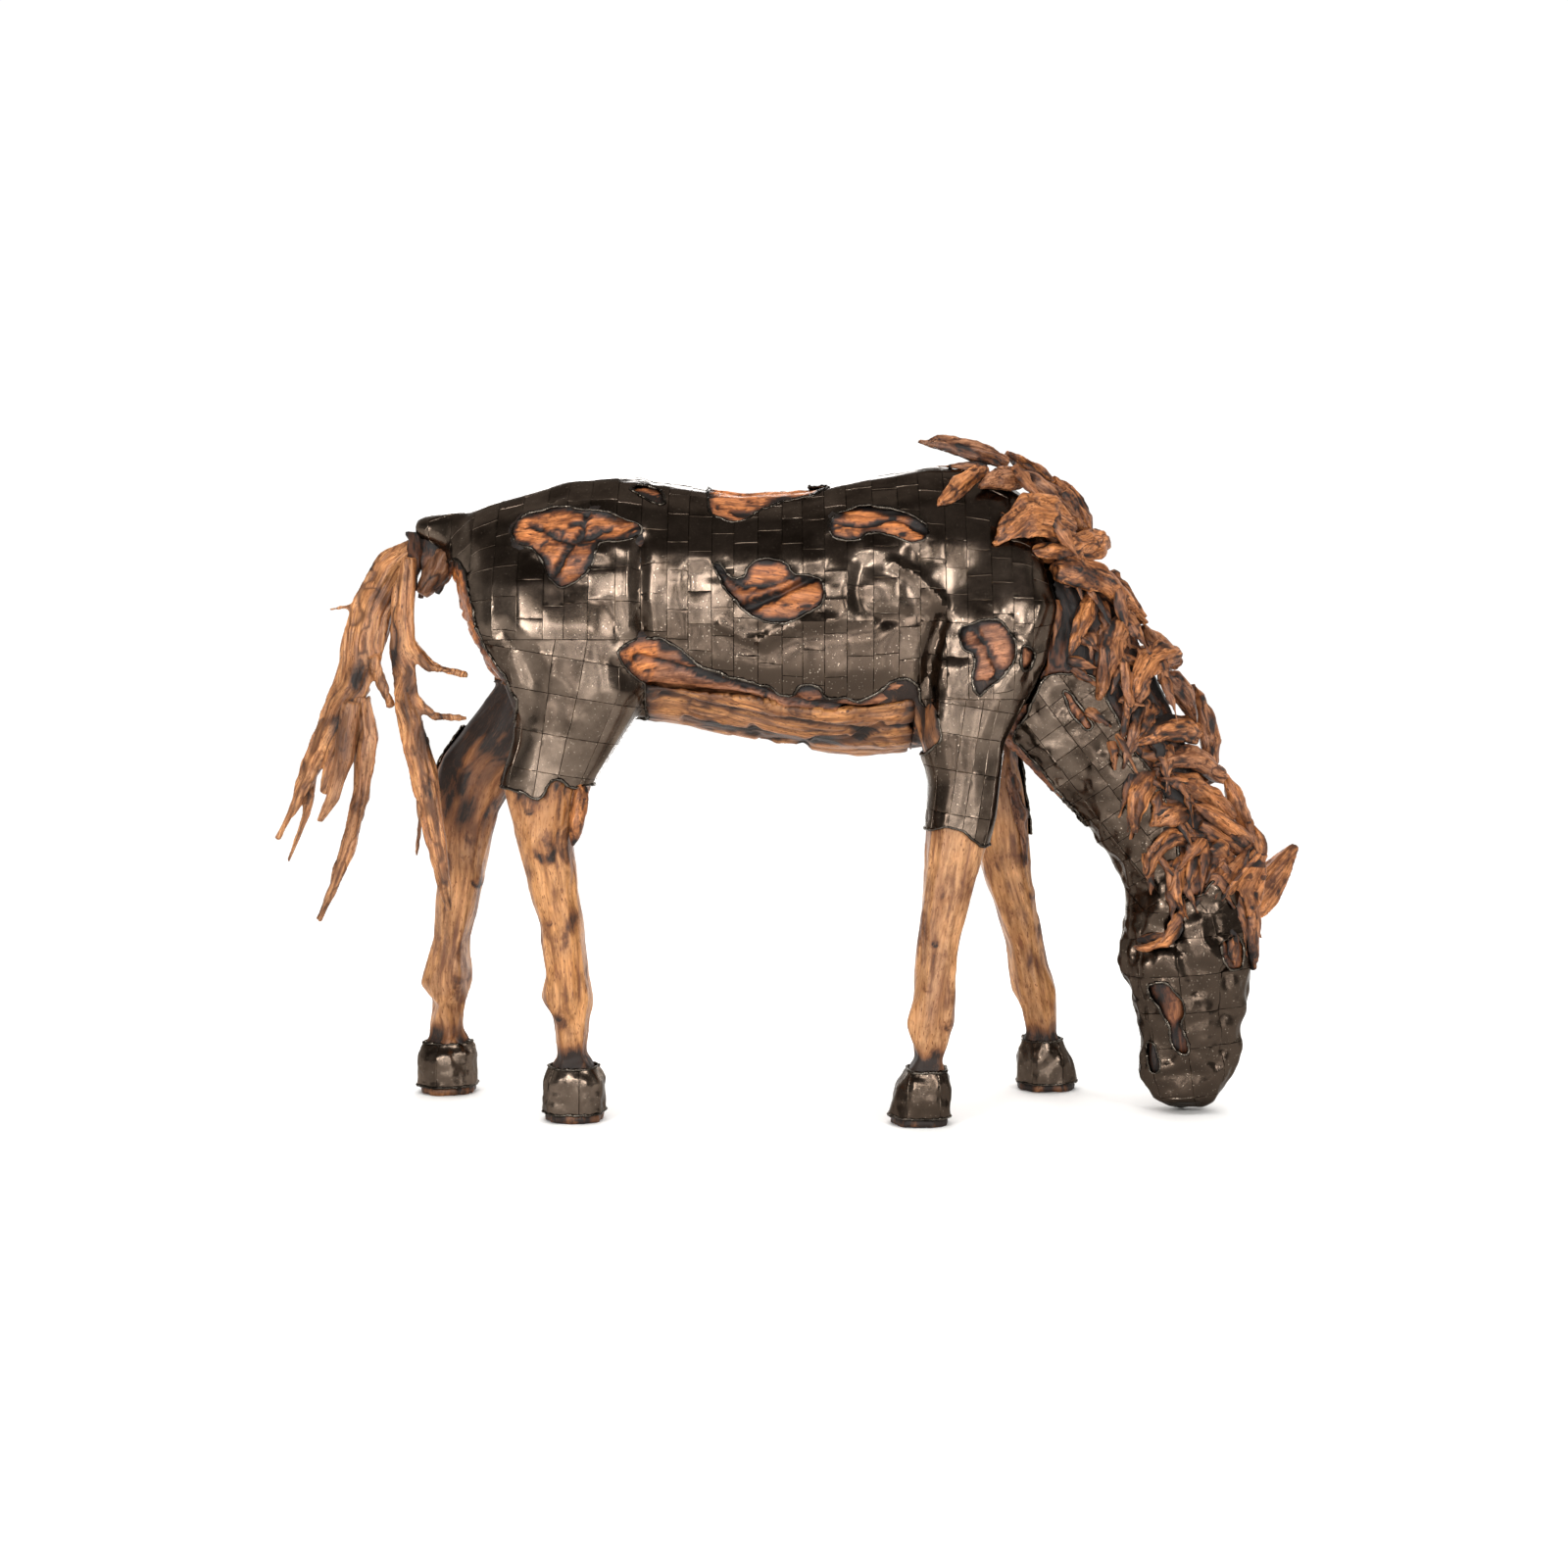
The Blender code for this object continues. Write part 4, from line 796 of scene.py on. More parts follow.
def plates_of(bm):
    """The faces of each plate: those that no seam parts. They come in the same order on each run."""
    unseen, plates = set(bm.faces), []
    for first in bm.faces:
        if first not in unseen:
            continue
        unseen.remove(first)
        front, plate = [first], []
        while front:
            face = front.pop()
            plate.append(face)
            for edge in face.edges:
                if not edge.seam:
                    for other in edge.link_faces:
                        if other in unseen:
                            unseen.remove(other)
                            front.append(other)
        plates.append(plate)
    return plates


def painted_shade_of(place):
    """How much darker the plates are painted here, as painted shade: below the barrel, on the neck and on the
    face.
    """
    low = max(0.0, min(1.0, (1.17 - place.z) / 0.10)) * (abs(place.x) < 0.34)
    return max(low, (0.8 if place.z > 0.45 else 1.2) * (place.x > 0.60 and abs(place.y) < 0.2))


def hammered(bm, rng, flatten=0.12, tilt=0.010, lift=0.0004):
    """Makes each plate flatter than the form it covers and sets it at a small slant of its own."""
    tone = bm.verts.layers.float.new("tone")
    for plate in plates_of(bm):
        verts = list(dict.fromkeys(vert for face in plate for vert in face.verts))
        centre = sum((vert.co for vert in verts), Vector()) / len(verts)
        facing = sum((face.normal * face.calc_area() for face in plate), Vector()).normalized()
        slant = Vector([rng.gauss(0.0, tilt) for _ in range(3)])
        # Each plate's tone: a random shade of its own, darkened by the painted shade of its place
        rise, shade = rng.gauss(0.0, lift), rng.uniform(-1.0, 1.0) - 2.2 * painted_shade_of(centre)
        for vert in verts:
            off = vert.co - centre
            vert[tone] = shade
            if not any(edge.seam for edge in vert.link_edges):
                vert.co += facing * (rise + slant.dot(off) - flatten * off.dot(facing) * 0.5)


def grooved(bm, width=SEAM_WIDTH, depth=SEAM_DEPTH):
    """Sinks a groove along every seam and rolls the outer borders in."""
    bm.normal_update()
    out = bm.verts.layers.float_vector.new("out")
    for vert in bm.verts:
        vert[out] = vert.normal
    bmesh.ops.split_edges(bm, edges=[edge for edge in bm.edges if edge.seam])
    bmesh.ops.inset_region(bm, faces=list(bm.faces), thickness=width, use_boundary=True)
    groove = bm.verts.layers.float.new("groove")
    rims = [vert for vert in bm.verts if vert.is_boundary]
    for vert in rims:
        vert.co -= vert[out] * depth
        vert[groove] = 1.0
    bmesh.ops.remove_doubles(bm, verts=rims, dist=0.0003)
    bm.verts.layers.float_vector.remove(out)


def trimmed(bm, bare_of):
    """Takes away what covers bare wood and draws the new border on to the line where the plating stops."""
    faces = list(bm.faces)
    field = bare_of(np.array([face.calc_center_median() for face in faces]))
    bmesh.ops.delete(bm, geom=[face for face, off in zip(faces, field) if off < 0.0], context="FACES")
    rims = [vert for vert in bm.verts if vert.is_boundary]
    points = np.array([vert.co for vert in rims])
    nudge = 0.0005
    for _ in range(3):
        off = bare_of(points)
        slope = np.column_stack([(bare_of(points + step) - off) / nudge for step in np.eye(3) * nudge])
        points -= slope * (off / np.maximum((slope**2).sum(axis=1), 0.2))[:, None]
    for vert, place in zip(rims, points):
        move = Vector(place) - vert.co
        move -= vert.normal * move.dot(vert.normal)
        vert.co += move * min(1.0, 0.008 / max(move.length, 1e-9))
    bm.normal_update()


# Dents: where they are in side view, how far they reach and how deep they go, in centimetres
DENTS = [
    (16.0, 118.5, 5.5, 0.55), (26.0, 116.0, 6.5, 0.7), (32.0, 112.0, 4.0, 0.5), (49.0, 98.0, 5.0, 0.5),
    (50.5, 108.0, 5.0, 0.6), (38.0, 100.0, 4.0, 0.45), (-20.5, 118.0, 6.0, 0.6), (-24.0, 124.0, 5.0, 0.45),
    (-8.0, 107.0, 5.0, 0.4), (-14.0, 125.5, 4.0, 0.4), (6.0, 125.0, 5.0, 0.45), (-54.5, 126.0, 5.0, 0.5),
    (-37.0, 124.5, 5.0, 0.5), (-36.0, 98.0, 5.0, 0.5), (-47.0, 88.0, 5.0, 0.5), (-53.0, 97.5, 4.0, 0.45),
    (-70.0, 131.0, 6.0, 0.5), (22.0, 124.0, 6.0, 0.4), (-19.0, 106.0, 5.0, 0.35), (30.0, 125.0, 6.0, 0.35),
]
# Folds beaten into the steel: a line in side view, then how wide and how deep it is, in centimetres. A rise
# is negative.
FOLDS = [
    ([(-31.2, 128.0), (-31.6, 118.0), (-31.0, 108.0), (-31.2, 104.5)], 1.5, 1.6),
    ([(-34.6, 126.0), (-34.8, 116.0), (-34.2, 108.0)], 1.2, -0.6),
    ([(17.6, 122.0), (16.4, 117.0), (17.2, 112.6), (22.0, 110.6)], 2.0, 0.9),
    ([(13.6, 121.5), (12.4, 116.5), (13.6, 111.6)], 2.0, -0.5),
    ([(24.0, 122.5), (29.0, 120.0), (33.5, 115.0), (36.5, 111.0)], 1.3, -1.1),
    ([(22.0, 110.6), (29.0, 111.4), (36.0, 110.4)], 1.6, 0.5),
    ([(34.6, 110.0), (32.6, 104.0), (31.6, 97.0), (32.0, 90.0)], 1.9, 1.3),
    ([(36.4, 109.0), (35.2, 103.0), (34.6, 97.0)], 1.1, -0.7),
    ([(-13.6, 109.4), (-9.0, 106.6), (-5.0, 105.8), (-1.0, 108.0), (4.0, 109.8), (11.0, 110.0)], 1.2, -0.9),
    ([(-12.0, 106.6), (-4.0, 103.2), (4.0, 106.6), (12.0, 107.4), (20.0, 108.0)], 2.0, 0.7),
    ([(56.0, 114.0), (53.4, 106.0), (50.6, 99.0)], 1.4, -0.7),
    ([(-61.0, 108.0), (-56.5, 103.0), (-54.6, 97.0), (-56.0, 90.0)], 2.2, 1.2),
]


def beaten(points):
    """How far hammer and folds push the plating in or out, for each point of the trunk's form."""
    push = 0.0019 * noise(points / (0.085, 0.12, 0.26), 301)
    rough = 0.0018 * noise(points / 0.024, 303) + 0.0009 * noise(points / 0.013, 304)
    for x, z, reach, depth in DENTS:
        near = np.exp(-(off_spot(points, x, z) ** 2).sum(axis=1) / (reach * CM) ** 2)
        push += near * depth * CM * (1.5 * noise(points / 0.052, 305) - 0.25) + 0.5 * near * rough
    for line, width, depth in FOLDS:
        off = apart(points[:, [0, 2]], side(line)) / (width * CM)
        push -= depth * CM * np.exp(-(off**2)) * (1.0 + 0.25 * noise(points / 0.05, 306))
    border = bareness(points, openings)
    return push + rough * ease(border, 0.040, 0.008)


def welded_steel(name, dark, warm, bright, roughness=0.21):
    """Mild steel plate, heated until it browned, then waxed: each plate a shade of its own, seams dark with
    bright ground spots, fine scratches and a soft gloss."""
    made, tree, shader = new_finish(name)
    tone = added(tree, "Attribute", attribute_name="tone")
    groove = added(tree, "Attribute", attribute_name="groove")
    place = added(tree, "TexCoord").outputs["Object"]
    heat = added(tree, "TexNoise", {"Vector": place, "Scale": 16.0, "Detail": 4.0, "Roughness": 0.6})
    brushed = added(tree, "TexNoise", {"Vector": place, "Scale": 140.0, "Detail": 4.0, "Roughness": 0.65})
    spatter = added(tree, "TexNoise", {"Vector": place, "Scale": 240.0, "Detail": 1.0})
    # The tone holds each plate's random shade and the painted shade below the barrel, on the neck and on the
    # face
    mottle_and_shade = added(tree, "Math", {0: tone.outputs["Fac"], 1: 0.16}, operation="MULTIPLY")
    mixed = added(tree, "Math", {0: heat.outputs["Fac"], 1: mottle_and_shade.outputs[0]}, operation="ADD")
    hue = added(tree, "ValToRGB", {0: mixed.outputs[0]}, stops=((0.28, linear(dark)), (0.74, linear(warm))))
    ground = added(tree, "TexNoise", {"Vector": place, "Scale": 34.0, "Detail": 2.0})
    seam = added(tree, "ValToRGB", {0: ground.outputs["Fac"]}, stops=(
        (0.50, linear("#1d1813")), (0.60, linear(bright)),
    ))
    deep = added(tree, "MapRange", {0: groove.outputs["Fac"], 1: 0.2, 2: 0.9, 3: 0.0, 4: 0.75})
    lined = added(tree, "MixRGB", {
        "Fac": deep.outputs[0], "Color1": hue.outputs["Color"], "Color2": seam.outputs["Color"],
    })
    dots = added(tree, "MapRange", {0: spatter.outputs["Fac"], 1: 0.71, 2: 0.74, 3: 0.0, 4: 0.8})
    specked = added(tree, "MixRGB", {
        "Fac": dots.outputs[0], "Color1": lined.outputs["Color"], "Color2": linear(bright),
    })
    rough = added(tree, "MapRange", {
        0: brushed.outputs["Fac"], 1: 0.3, 2: 0.7, 3: roughness - 0.03, 4: roughness + 0.05,
    })
    bump = added(tree, "Bump", {"Strength": 0.04, "Distance": 0.001, "Height": brushed.outputs["Fac"]})
    tree.links.new(specked.outputs["Color"], shader.inputs["Base Color"])
    tree.links.new(rough.outputs[0], shader.inputs["Roughness"])
    tree.links.new(bump.outputs[0], shader.inputs["Normal"])
    shader.inputs["Metallic"].default_value = 1.0
    shader.inputs["Specular Tint"].default_value = (0.56, 0.55, 0.54, 1.0)
    return made


brown_steel = welded_steel("mild steel plate, heat browned", "#40362e", "#66594e", "#978b7d", roughness=0.22)
bead_steel = welded_steel("weld bead, wire brushed", "#221e1a", "#575048", "#a89d8f", roughness=0.25)


def border_loops(bm):
    """The open borders of a sheet, each as a closed run of places."""
    ahead = {}
    for edge in bm.edges:
        if edge.is_boundary:
            for vert in edge.verts:
                ahead.setdefault(vert, []).append(edge)
    unused, loops = {edge for edges in ahead.values() for edge in edges}, []
    for edge in bm.edges:
        if edge not in unused:
            continue
        unused.remove(edge)
        vert, run = edge.verts[0], [edge.verts[0].co.copy()]
        while True:
            vert = edge.other_vert(vert)
            run.append(vert.co.copy())
            following = [each for each in ahead[vert] if each in unused]
            if not following:
                break
            edge = following[0]
            unused.remove(edge)
        if len(run) > 6:
            loops.append(run)
    return loops


def weld_bead(name, loops, radius, spacing=0.0042):
    """A lumpy run of weld laid along each border."""
    curve = bpy.data.curves.new(name, "CURVE")
    curve.dimensions = "3D"
    curve.bevel_depth = radius
    curve.bevel_resolution = 1
    curve.use_fill_caps = True
    for run in loops:
        points = np.array(run)
        lengths = np.concatenate(([0.0], np.cumsum(np.linalg.norm(np.diff(points, axis=0), axis=1))))
        count = max(4, round(lengths[-1] / spacing))
        at = np.linspace(0.0, lengths[-1], count)
        laid = np.column_stack([np.interp(at, lengths, points[:, axis]) for axis in range(3)])
        laid[1:-1] = (laid[:-2] + 2.0 * laid[1:-1] + laid[2:]) / 4.0
        laid += 0.0009 * np.column_stack([noise(laid / 0.009, 401 + axis) for axis in range(3)])
        spline = curve.splines.new("POLY")
        spline.points.add(count - 1)
        spline.points.foreach_set("co", np.column_stack((laid, np.ones(count))).ravel())
        lumps = 0.72 + 0.62 * np.abs(noise(laid / 0.008, 405)) + 0.25 * noise(laid / 0.04, 406)
        spline.points.foreach_set("radius", lumps)
    mesh = settled(placed(name, curve))
    noted(mesh, "tone", 0.8 * noise(spots_of(mesh) / 0.02, 407))
    return mesh


def plated(name, bm, rng, nodes, bead_radius=BEAD_RADIUS):
    """Finishes a cut sheet as a piece of plating and lays a bead along its borders."""
    hammered(bm, rng)
    loops = border_loops(bm)
    grooved(bm)
    piece = fitted(name, mesh_of(bm, name), brown_steel, "steel", *nodes)
    piece.data.set_sharp_from_angle(angle=math.radians(32.0))
    rim = piece.modifiers.new("rim", "SOLIDIFY")
    rim.thickness = RIM_DEPTH
    rim.offset = -1.0
    rim.use_rim_only = True
    fitted(name + "_bead", weld_bead(name + "_bead", loops, bead_radius), bead_steel, "steel")


def sheet_from(mesh, lift, push):
    """An open sheet that lies over a form, lifted off it by that much and beaten in or out."""
    points, facing = spots_of(mesh), facings_of(mesh)
    rise = lift + push(points)
    mesh.vertices.foreach_set("co", (points + facing * rise[:, None]).ravel())
    bm = bmesh.new()
    bm.from_mesh(mesh)
    return bm


rng = random.Random(5)
form = melted(
    ["trunk", "belly_slab", "near_hind_leg", "far_hind_leg", "near_fore_leg", "far_fore_leg"],
    voxel=0.0085, smoothing=16,
)
bm = sheet_from(form, SHEET_OFF, beaten)
trimmed(bm, lambda points: bareness(points, openings))

# Where the limbs' plates begin, in the layout's centimetres. Then each limb: the top and bottom of its axis
# in side view, its place across the horse and the width of its plates
THIGH_FRONT, THIGH_TOP = -28.0, 106.0
ARM_BACK, ARM_TOP = 29.0, 93.0
LIMBS = (
    ((-48.0, 106.0), (-53.5, 74.0), -0.148, 0.052), ((-55.0, 106.0), (-73.0, 74.0), 0.148, 0.052),
    ((45.0, 100.0), (38.5, 60.0), -0.165, 0.040), ((46.0, 100.0), (52.0, 60.0), 0.165, 0.040),
)
up = Vector((0.0, 0.0, 1.0))
everything = set(bm.faces)
(thigh_front, thigh_top), (arm_back, arm_top) = side([(THIGH_FRONT, THIGH_TOP), (ARM_BACK, ARM_TOP)])
hind = {face for face in everything if face.calc_center_median().x < thigh_front}
hind = seam_cut(bm, hind, Vector((0.0, 0.0, thigh_top)), up)
fore = {face for face in everything - hind if face.calc_center_median().x > arm_back}
fore = seam_cut(bm, fore, Vector((0.0, 0.0, arm_top)), up)
low = {face for face in hind if face.calc_center_median().z < thigh_top}
low |= {face for face in fore if face.calc_center_median().z < arm_top}
barrel = set(bm.faces) - low
for strip in strips_cut(bm, barrel, Vector((1.0, 0.0, 0.0)), PLATE_WIDTH, rng):
    round_cut(bm, strip, BARREL_AXIS, Vector((1.0, 0.0, 0.0)), PLATE_LENGTH / BARREL_RADIUS, rng)
for top, bottom, y, width in LIMBS:
    (top_x, top_z), (bottom_x, bottom_z) = side([top, bottom])
    centre = Vector((top_x, y, top_z))
    axis = (Vector((bottom_x, y, bottom_z)) - centre).normalized()
    own = {
        face for face in low
        if face.is_valid and (face.calc_center_median().y > 0.0) == (y > 0.0)
        and (face.calc_center_median().x > 0.0) == (top_x > 0.0)
    }
    own = round_cut(bm, own, centre, axis, width / LIMB_RADIUS, rng)
    strips_cut(bm, own, axis, PLATE_LENGTH * 0.9, rng, 0.3)
plated("welded_trunk_plating", bm, rng, ["trunk_plating"])


# Hooves
# Each hoof is a collar of six or seven plates welded round the wooden foot, wider at the ground, with a lumpy
# weld along its rim.
HOOF_OFF = 0.0035  # the outer face of its plates, above the wood
SOLE_SHOWS = 0.006  # how far the rim is raised, so that the sole shows as in the real one
HOOF_PLATES = 6.4


def hoof_beaten(points):
    """How far the hammer has pushed the steel of a hoof in or out."""
    return 0.0028 * noise(points / 0.035, 501) + 0.0014 * noise(points / 0.012, 502)


for name in ("near_hind_hoof", "far_hind_hoof", "near_fore_hoof", "far_fore_hoof"):
    low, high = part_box(name)
    form = melted([name.replace("hoof", "leg")], voxel=0.0065, smoothing=3)
    bm = sheet_from(form, HOOF_OFF, hoof_beaten)
    faces = set(bm.faces)
    low.z += SOLE_SHOWS
    for level in (low.z, high.z):
        faces = seam_cut(bm, faces, Vector((0.0, 0.0, level)), up, 0.01)
    outside = [face for face in bm.faces if not low.z < face.calc_center_median().z < high.z]
    bmesh.ops.delete(bm, geom=outside, context="FACES")
    for edge in bm.edges:
        edge.seam = edge.seam and not edge.is_boundary
    round_cut(bm, set(bm.faces), (low + high) / 2.0, up, 2.0 * math.pi / HOOF_PLATES, rng)
    plated("welded_" + name, bm, rng, [name], bead_radius=0.0034)


# Tail
# Driftwood branches doweled into the dock: a thick main lock, an antler-like fork, a whip, a shard and a
# twig, worn by sand and fluted along their length.
drift_teak = oiled_teak(
    "oiled driftwood teak", "#bb8656", "#97623a", "#5c361c", "#1c120c", streak_mm=6.0, burn_from=0.53
)
TAIL_TONES = {
    "tail_root": -0.75, "tail_antler": 0.1, "tail_main": -0.05, "tail_long_whip": -0.2,
    "tail_inner_shard": -0.3, "tail_thin_twig": -0.5,
}
# Painted shade, drawn as char in the hollows of the tail: place, half width and half height in centimetres
SHADED_HOLLOWS = [
    (-100.4, 83.0, 2.6, 9.0), (-97.0, 98.0, 2.2, 3.6), (-88.4, 104.0, 1.6, 7.0), (-80.6, 84.0, 1.8, 3.0),
    (-85.6, 94.0, 1.2, 5.0),
]
for index, (name, tone) in enumerate(TAIL_TONES.items()):
    branch = melted([name], voxel=0.0034, smoothing=6)
    spots = spots_of(branch)
    # Painted shade in the listed hollows; the root is darkened by half all over
    hollow_shade = np.full(len(spots), 0.5 * (name == "tail_root"))
    for x, z, wide, tall in SHADED_HOLLOWS:
        off = off_spot(spots, x, z) / (wide * CM, tall * CM)
        hollow_shade = np.maximum(hollow_shade, 0.85 * np.exp(-(off**2).sum(axis=1)))
    carve(
        branch, grain_of(spots, 14), flute=(0.022, 0.34, 0.0044), lump=(0.05, 0.002), soot=0.5,
        scorch_and_shade=hollow_shade, seed=101 + 10 * index, tone=tone,
    )
    fitted("carved_" + name, branch, drift_teak, "body_wood", name)


# Mane, forelock and splinters
# Some thirty locks of root wood, hacked and burnt into curls, overlap from the withers to the brow. Each is
# doweled to the neck, its hollows charred and its ridges rubbed pale, and it is darkened with painted shade
# where it comes near the neck. Two splinters in the legs match them.
mane_teak = oiled_teak(
    "oiled mane teak", "#ba7c4b", "#91592f", "#552d15", "#150e0a", streak_mm=6.0, burn_from=0.52
)
OWN_TONES = {
    "mane_muzzle_lock": 0.6, "mane_curled_lock": 0.25, "mane_broad_leaf": 0.15, "mane_falling_prong": 0.1,
    "thigh_splinter": 0.35, "foreleg_splint": -0.7,
}
CHEST = 0.72  # the locks below this height are lighter
CHISEL_EDGE = math.radians(30.0)


def faceted(node, longest, smoothing):
    """The solid of a node as it is, with its long edges halved until about none is longer than that."""
    bm = sawn([node])
    for _ in range(6):
        long = [edge for edge in bm.edges if edge.calc_length() > longest]
        bmesh.ops.subdivide_edges(bm, edges=long, cuts=1)
        bmesh.ops.triangulate(bm, faces=[face for face in bm.faces if len(face.verts) > 3])
    for _ in range(smoothing):
        bmesh.ops.smooth_vert(
            bm, verts=bm.verts, factor=0.5, use_axis_x=True, use_axis_y=True, use_axis_z=True
        )
    return mesh_of(bm, "blank")


def hewn(mesh, share=0.3):
    """The mesh left in chisel-cut facets with crisp ridges."""
    blank = placed("blank", mesh)
    blank.modifiers.new("chisel cuts", "DECIMATE").ratio = share
    return settled(blank)


neck_wall = wall_of(sawn(["neck_and_head"]))
locks = sorted(
    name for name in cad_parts
    if name.startswith(("mane_", "forelock_")) or name in ("thigh_splinter", "foreleg_splint")
)
for index, name in enumerate(locks):
    lock = faceted(name, longest=0.0046, smoothing=2)
    spots = spots_of(lock)
    tone = OWN_TONES.get(name, 0.5 * math.sin(index * 2.4) - 0.1 + 0.45 * (spots[:, 2].mean() < CHEST))
    # Painted shade: each lock darkens where it comes within about 2 cm of the neck, drawn as char
    rooted = np.array([neck_wall.find_nearest(Vector(spot))[3] for spot in spots])
    carve(
        lock, grain_of(spots, 7), flute=(0.015, 0.12, 0.0024), lump=(0.03, 0.0035), ledge=0.0012,
        scorch_and_shade=0.9 * ease(rooted, 0.022, 0.002), soot=0.3 if tone > 0.45 else 0.7,
        seed=201 + 10 * index, tone=tone,
    )
    lock = hewn(lock)
    fitted("carved_" + name, lock, mane_teak, "mane_wood", name)
    lock.set_sharp_from_angle(angle=CHISEL_EDGE)


# Small shards
# Dozens of offcuts, split and burnt as the large locks are, fill the gaps between them down to the neck. A
# few more thicken the dock and the strap across the cheek.
def split_shard(sheaf, root, tip, out, width, thick, bow=0.10):
    """Adds one pointed offcut to the sheaf, bowed outwards. Returns its coordinates by the grain."""
    bm = bmesh.new()
    bmesh.ops.create_cone(bm, cap_ends=True, segments=10, radius1=0.40, radius2=0.09, depth=1.0)
    long = [edge for edge in bm.edges if abs(edge.verts[0].co.z - edge.verts[1].co.z) > 0.5]
    bmesh.ops.subdivide_edges(bm, edges=long, cuts=11)
    bmesh.ops.triangulate(bm, faces=bm.faces)
    bmesh.ops.subdivide_edges(bm, edges=bm.edges, cuts=1, use_grid_fill=True)
    drawn = np.array([vert.co for vert in bm.verts])
    share = drawn[:, 2] + 0.5
    along = (tip - root).normalized()
    across = along.cross(out).normalized()
    lift = across.cross(along).normalized()
    length = (tip - root).length
    swell = 0.72 + 0.5 * np.sin(np.pi * np.minimum(1.0, share * 1.25))
    notches = np.column_stack((share * 6.0, drawn[:, 0] * 2.0, drawn[:, 1]))
    jag = 1.0 + 0.35 * noise(notches + root.x * 90.0, 811)
    own = np.column_stack((share * length, drawn[:, 0] * width * swell * jag, drawn[:, 1] * thick * swell))
    rise = own[:, 2] - bow * length * (2.0 * share - 1.0) ** 2
    place = np.array(root) + np.outer(own[:, 0], along) + np.outer(own[:, 1], across) + np.outer(rise, lift)
    for vert, spot in zip(bm.verts, place):
        vert.co = spot
    mesh = mesh_of(bm, "shard")
    sheaf.from_mesh(mesh)
    bpy.data.meshes.remove(mesh)
    return own + np.array((root.x * 7.0, root.z * 3.0, 0.0))


def surface_at(wall, x, z, near=True):
    """Where a line across the horse, placed in side-view centimetres, first meets a form. Where it meets
    none, a place near the middle."""
    spot = side([(x, z)])[0]
    way = 1.0 if near else -1.0
    found = wall.ray_cast(Vector((spot[0], -way, spot[1])), Vector((0.0, way, 0.0)))[0]
    return found or Vector((spot[0], -0.04 * way, spot[1]))


CREST = np.array([
    (44.0, 143.0), (57.0, 138.0), (67.0, 126.0), (77.0, 108.0), (86.0, 90.0), (91.0, 74.0), (99.0, 56.0),
])
SHARDS = 84
chips = random.Random(17)
sheaf = bmesh.new()
grains = []
for index in range(SHARDS):
    spot = (index + chips.random()) / SHARDS * (len(CREST) - 1.001)
    first = int(spot)
    run = CREST[first + 1] - CREST[first]
    down = run / np.hypot(*run)
    inward = chips.uniform(0.5, 17.0 if spot > 1.0 else 9.0)
    start = CREST[first] + run * (spot - first) + inward * np.array((down[1], -down[0]))
    turn = chips.uniform(-0.9, 0.9)
    aim = np.array((
        down[0] * math.cos(turn) - down[1] * math.sin(turn),
        down[0] * math.sin(turn) + down[1] * math.cos(turn),
    ))
    length = chips.uniform(6.0, 12.0)
    near = index % 3 != 0
    root = surface_at(neck_wall, *start, near)
    tip = surface_at(neck_wall, *(start + aim * length), near)
    out = Vector((0.0, -1.0 if near else 1.0, 0.0))
    lift = out * chips.uniform(0.010, 0.030)
    grains.append(split_shard(
        sheaf, root + lift * 0.4, tip + lift, out, chips.uniform(0.024, 0.044), chips.uniform(0.016, 0.026)
    ))
# Shards seen one by one in side view: root, tip and width in centimetres
SINGLE = [
    ((103.5, 55.0), (108.7, 38.3), 3.4), ((101.7, 49.0), (104.0, 33.7), 3.0),
    ((105.2, 47.8), (106.5, 38.0), 2.6), ((98.7, 55.0), (93.7, 49.0), 3.0),
    ((88.9, 45.2), (83.9, 39.1), 3.2), ((84.6, 39.8), (77.4, 38.0), 2.6),
    ((72.4, 112.2), (68.7, 93.3), 4.4), ((70.0, 114.6), (67.0, 107.4), 2.6),
    ((77.4, 98.9), (75.4, 78.0), 3.0), ((81.5, 97.6), (77.4, 89.1), 3.5), ((83.9, 91.5), (79.1, 84.1), 3.5),
    ((80.4, 80.6), (96.1, 77.0), 4.3), ((82.8, 67.2), (91.3, 68.5), 3.5), ((83.9, 72.0), (82.8, 64.8), 3.0),
    ((87.6, 74.6), (98.7, 72.0), 3.5), ((45.6, 145.2), (34.4, 145.8), 2.0),
    ((43.5, 136.7), (50.6, 132.8), 3.0), ((51.1, 145.0), (58.5, 136.5), 4.0),
    ((63.3, 139.6), (67.0, 134.1), 3.5), ((60.0, 133.0), (66.0, 124.0), 4.0),
    ((94.0, 62.0), (88.0, 55.0), 4.0), ((97.0, 59.0), (103.0, 47.0), 3.5),
    ((90.0, 58.0), (86.0, 50.5), 4.0), ((99.5, 61.0), (94.5, 52.0), 4.0),
    ((96.0, 53.5), (101.0, 46.0), 3.5), ((93.6, 64.0), (108.0, 55.0), 5.0),
    ((106.0, 65.0), (108.6, 55.0), 3.0), ((75.0, 122.0), (82.0, 112.0), 5.0),
    ((96.4, 60.0), (103.0, 53.0), 6.0), ((85.4, 98.2), (88.4, 87.6), 3.0),
    ((77.0, 111.6), (82.2, 103.2), 3.4), ((96.0, 48.6), (107.4, 58.4), 7.0),
    ((75.0, 118.0), (78.0, 104.0), 3.6), ((85.0, 101.0), (89.0, 90.0), 3.6),
    ((100.6, 61.8), (108.0, 57.0), 5.0), ((99.6, 52.6), (106.4, 60.0), 5.0),
]
mane_wall = wall_of(sawn(["neck_and_head", *locks]))
out = Vector((0.0, -1.0, 0.0))
lift = Vector((0.0, -0.008, 0.0))
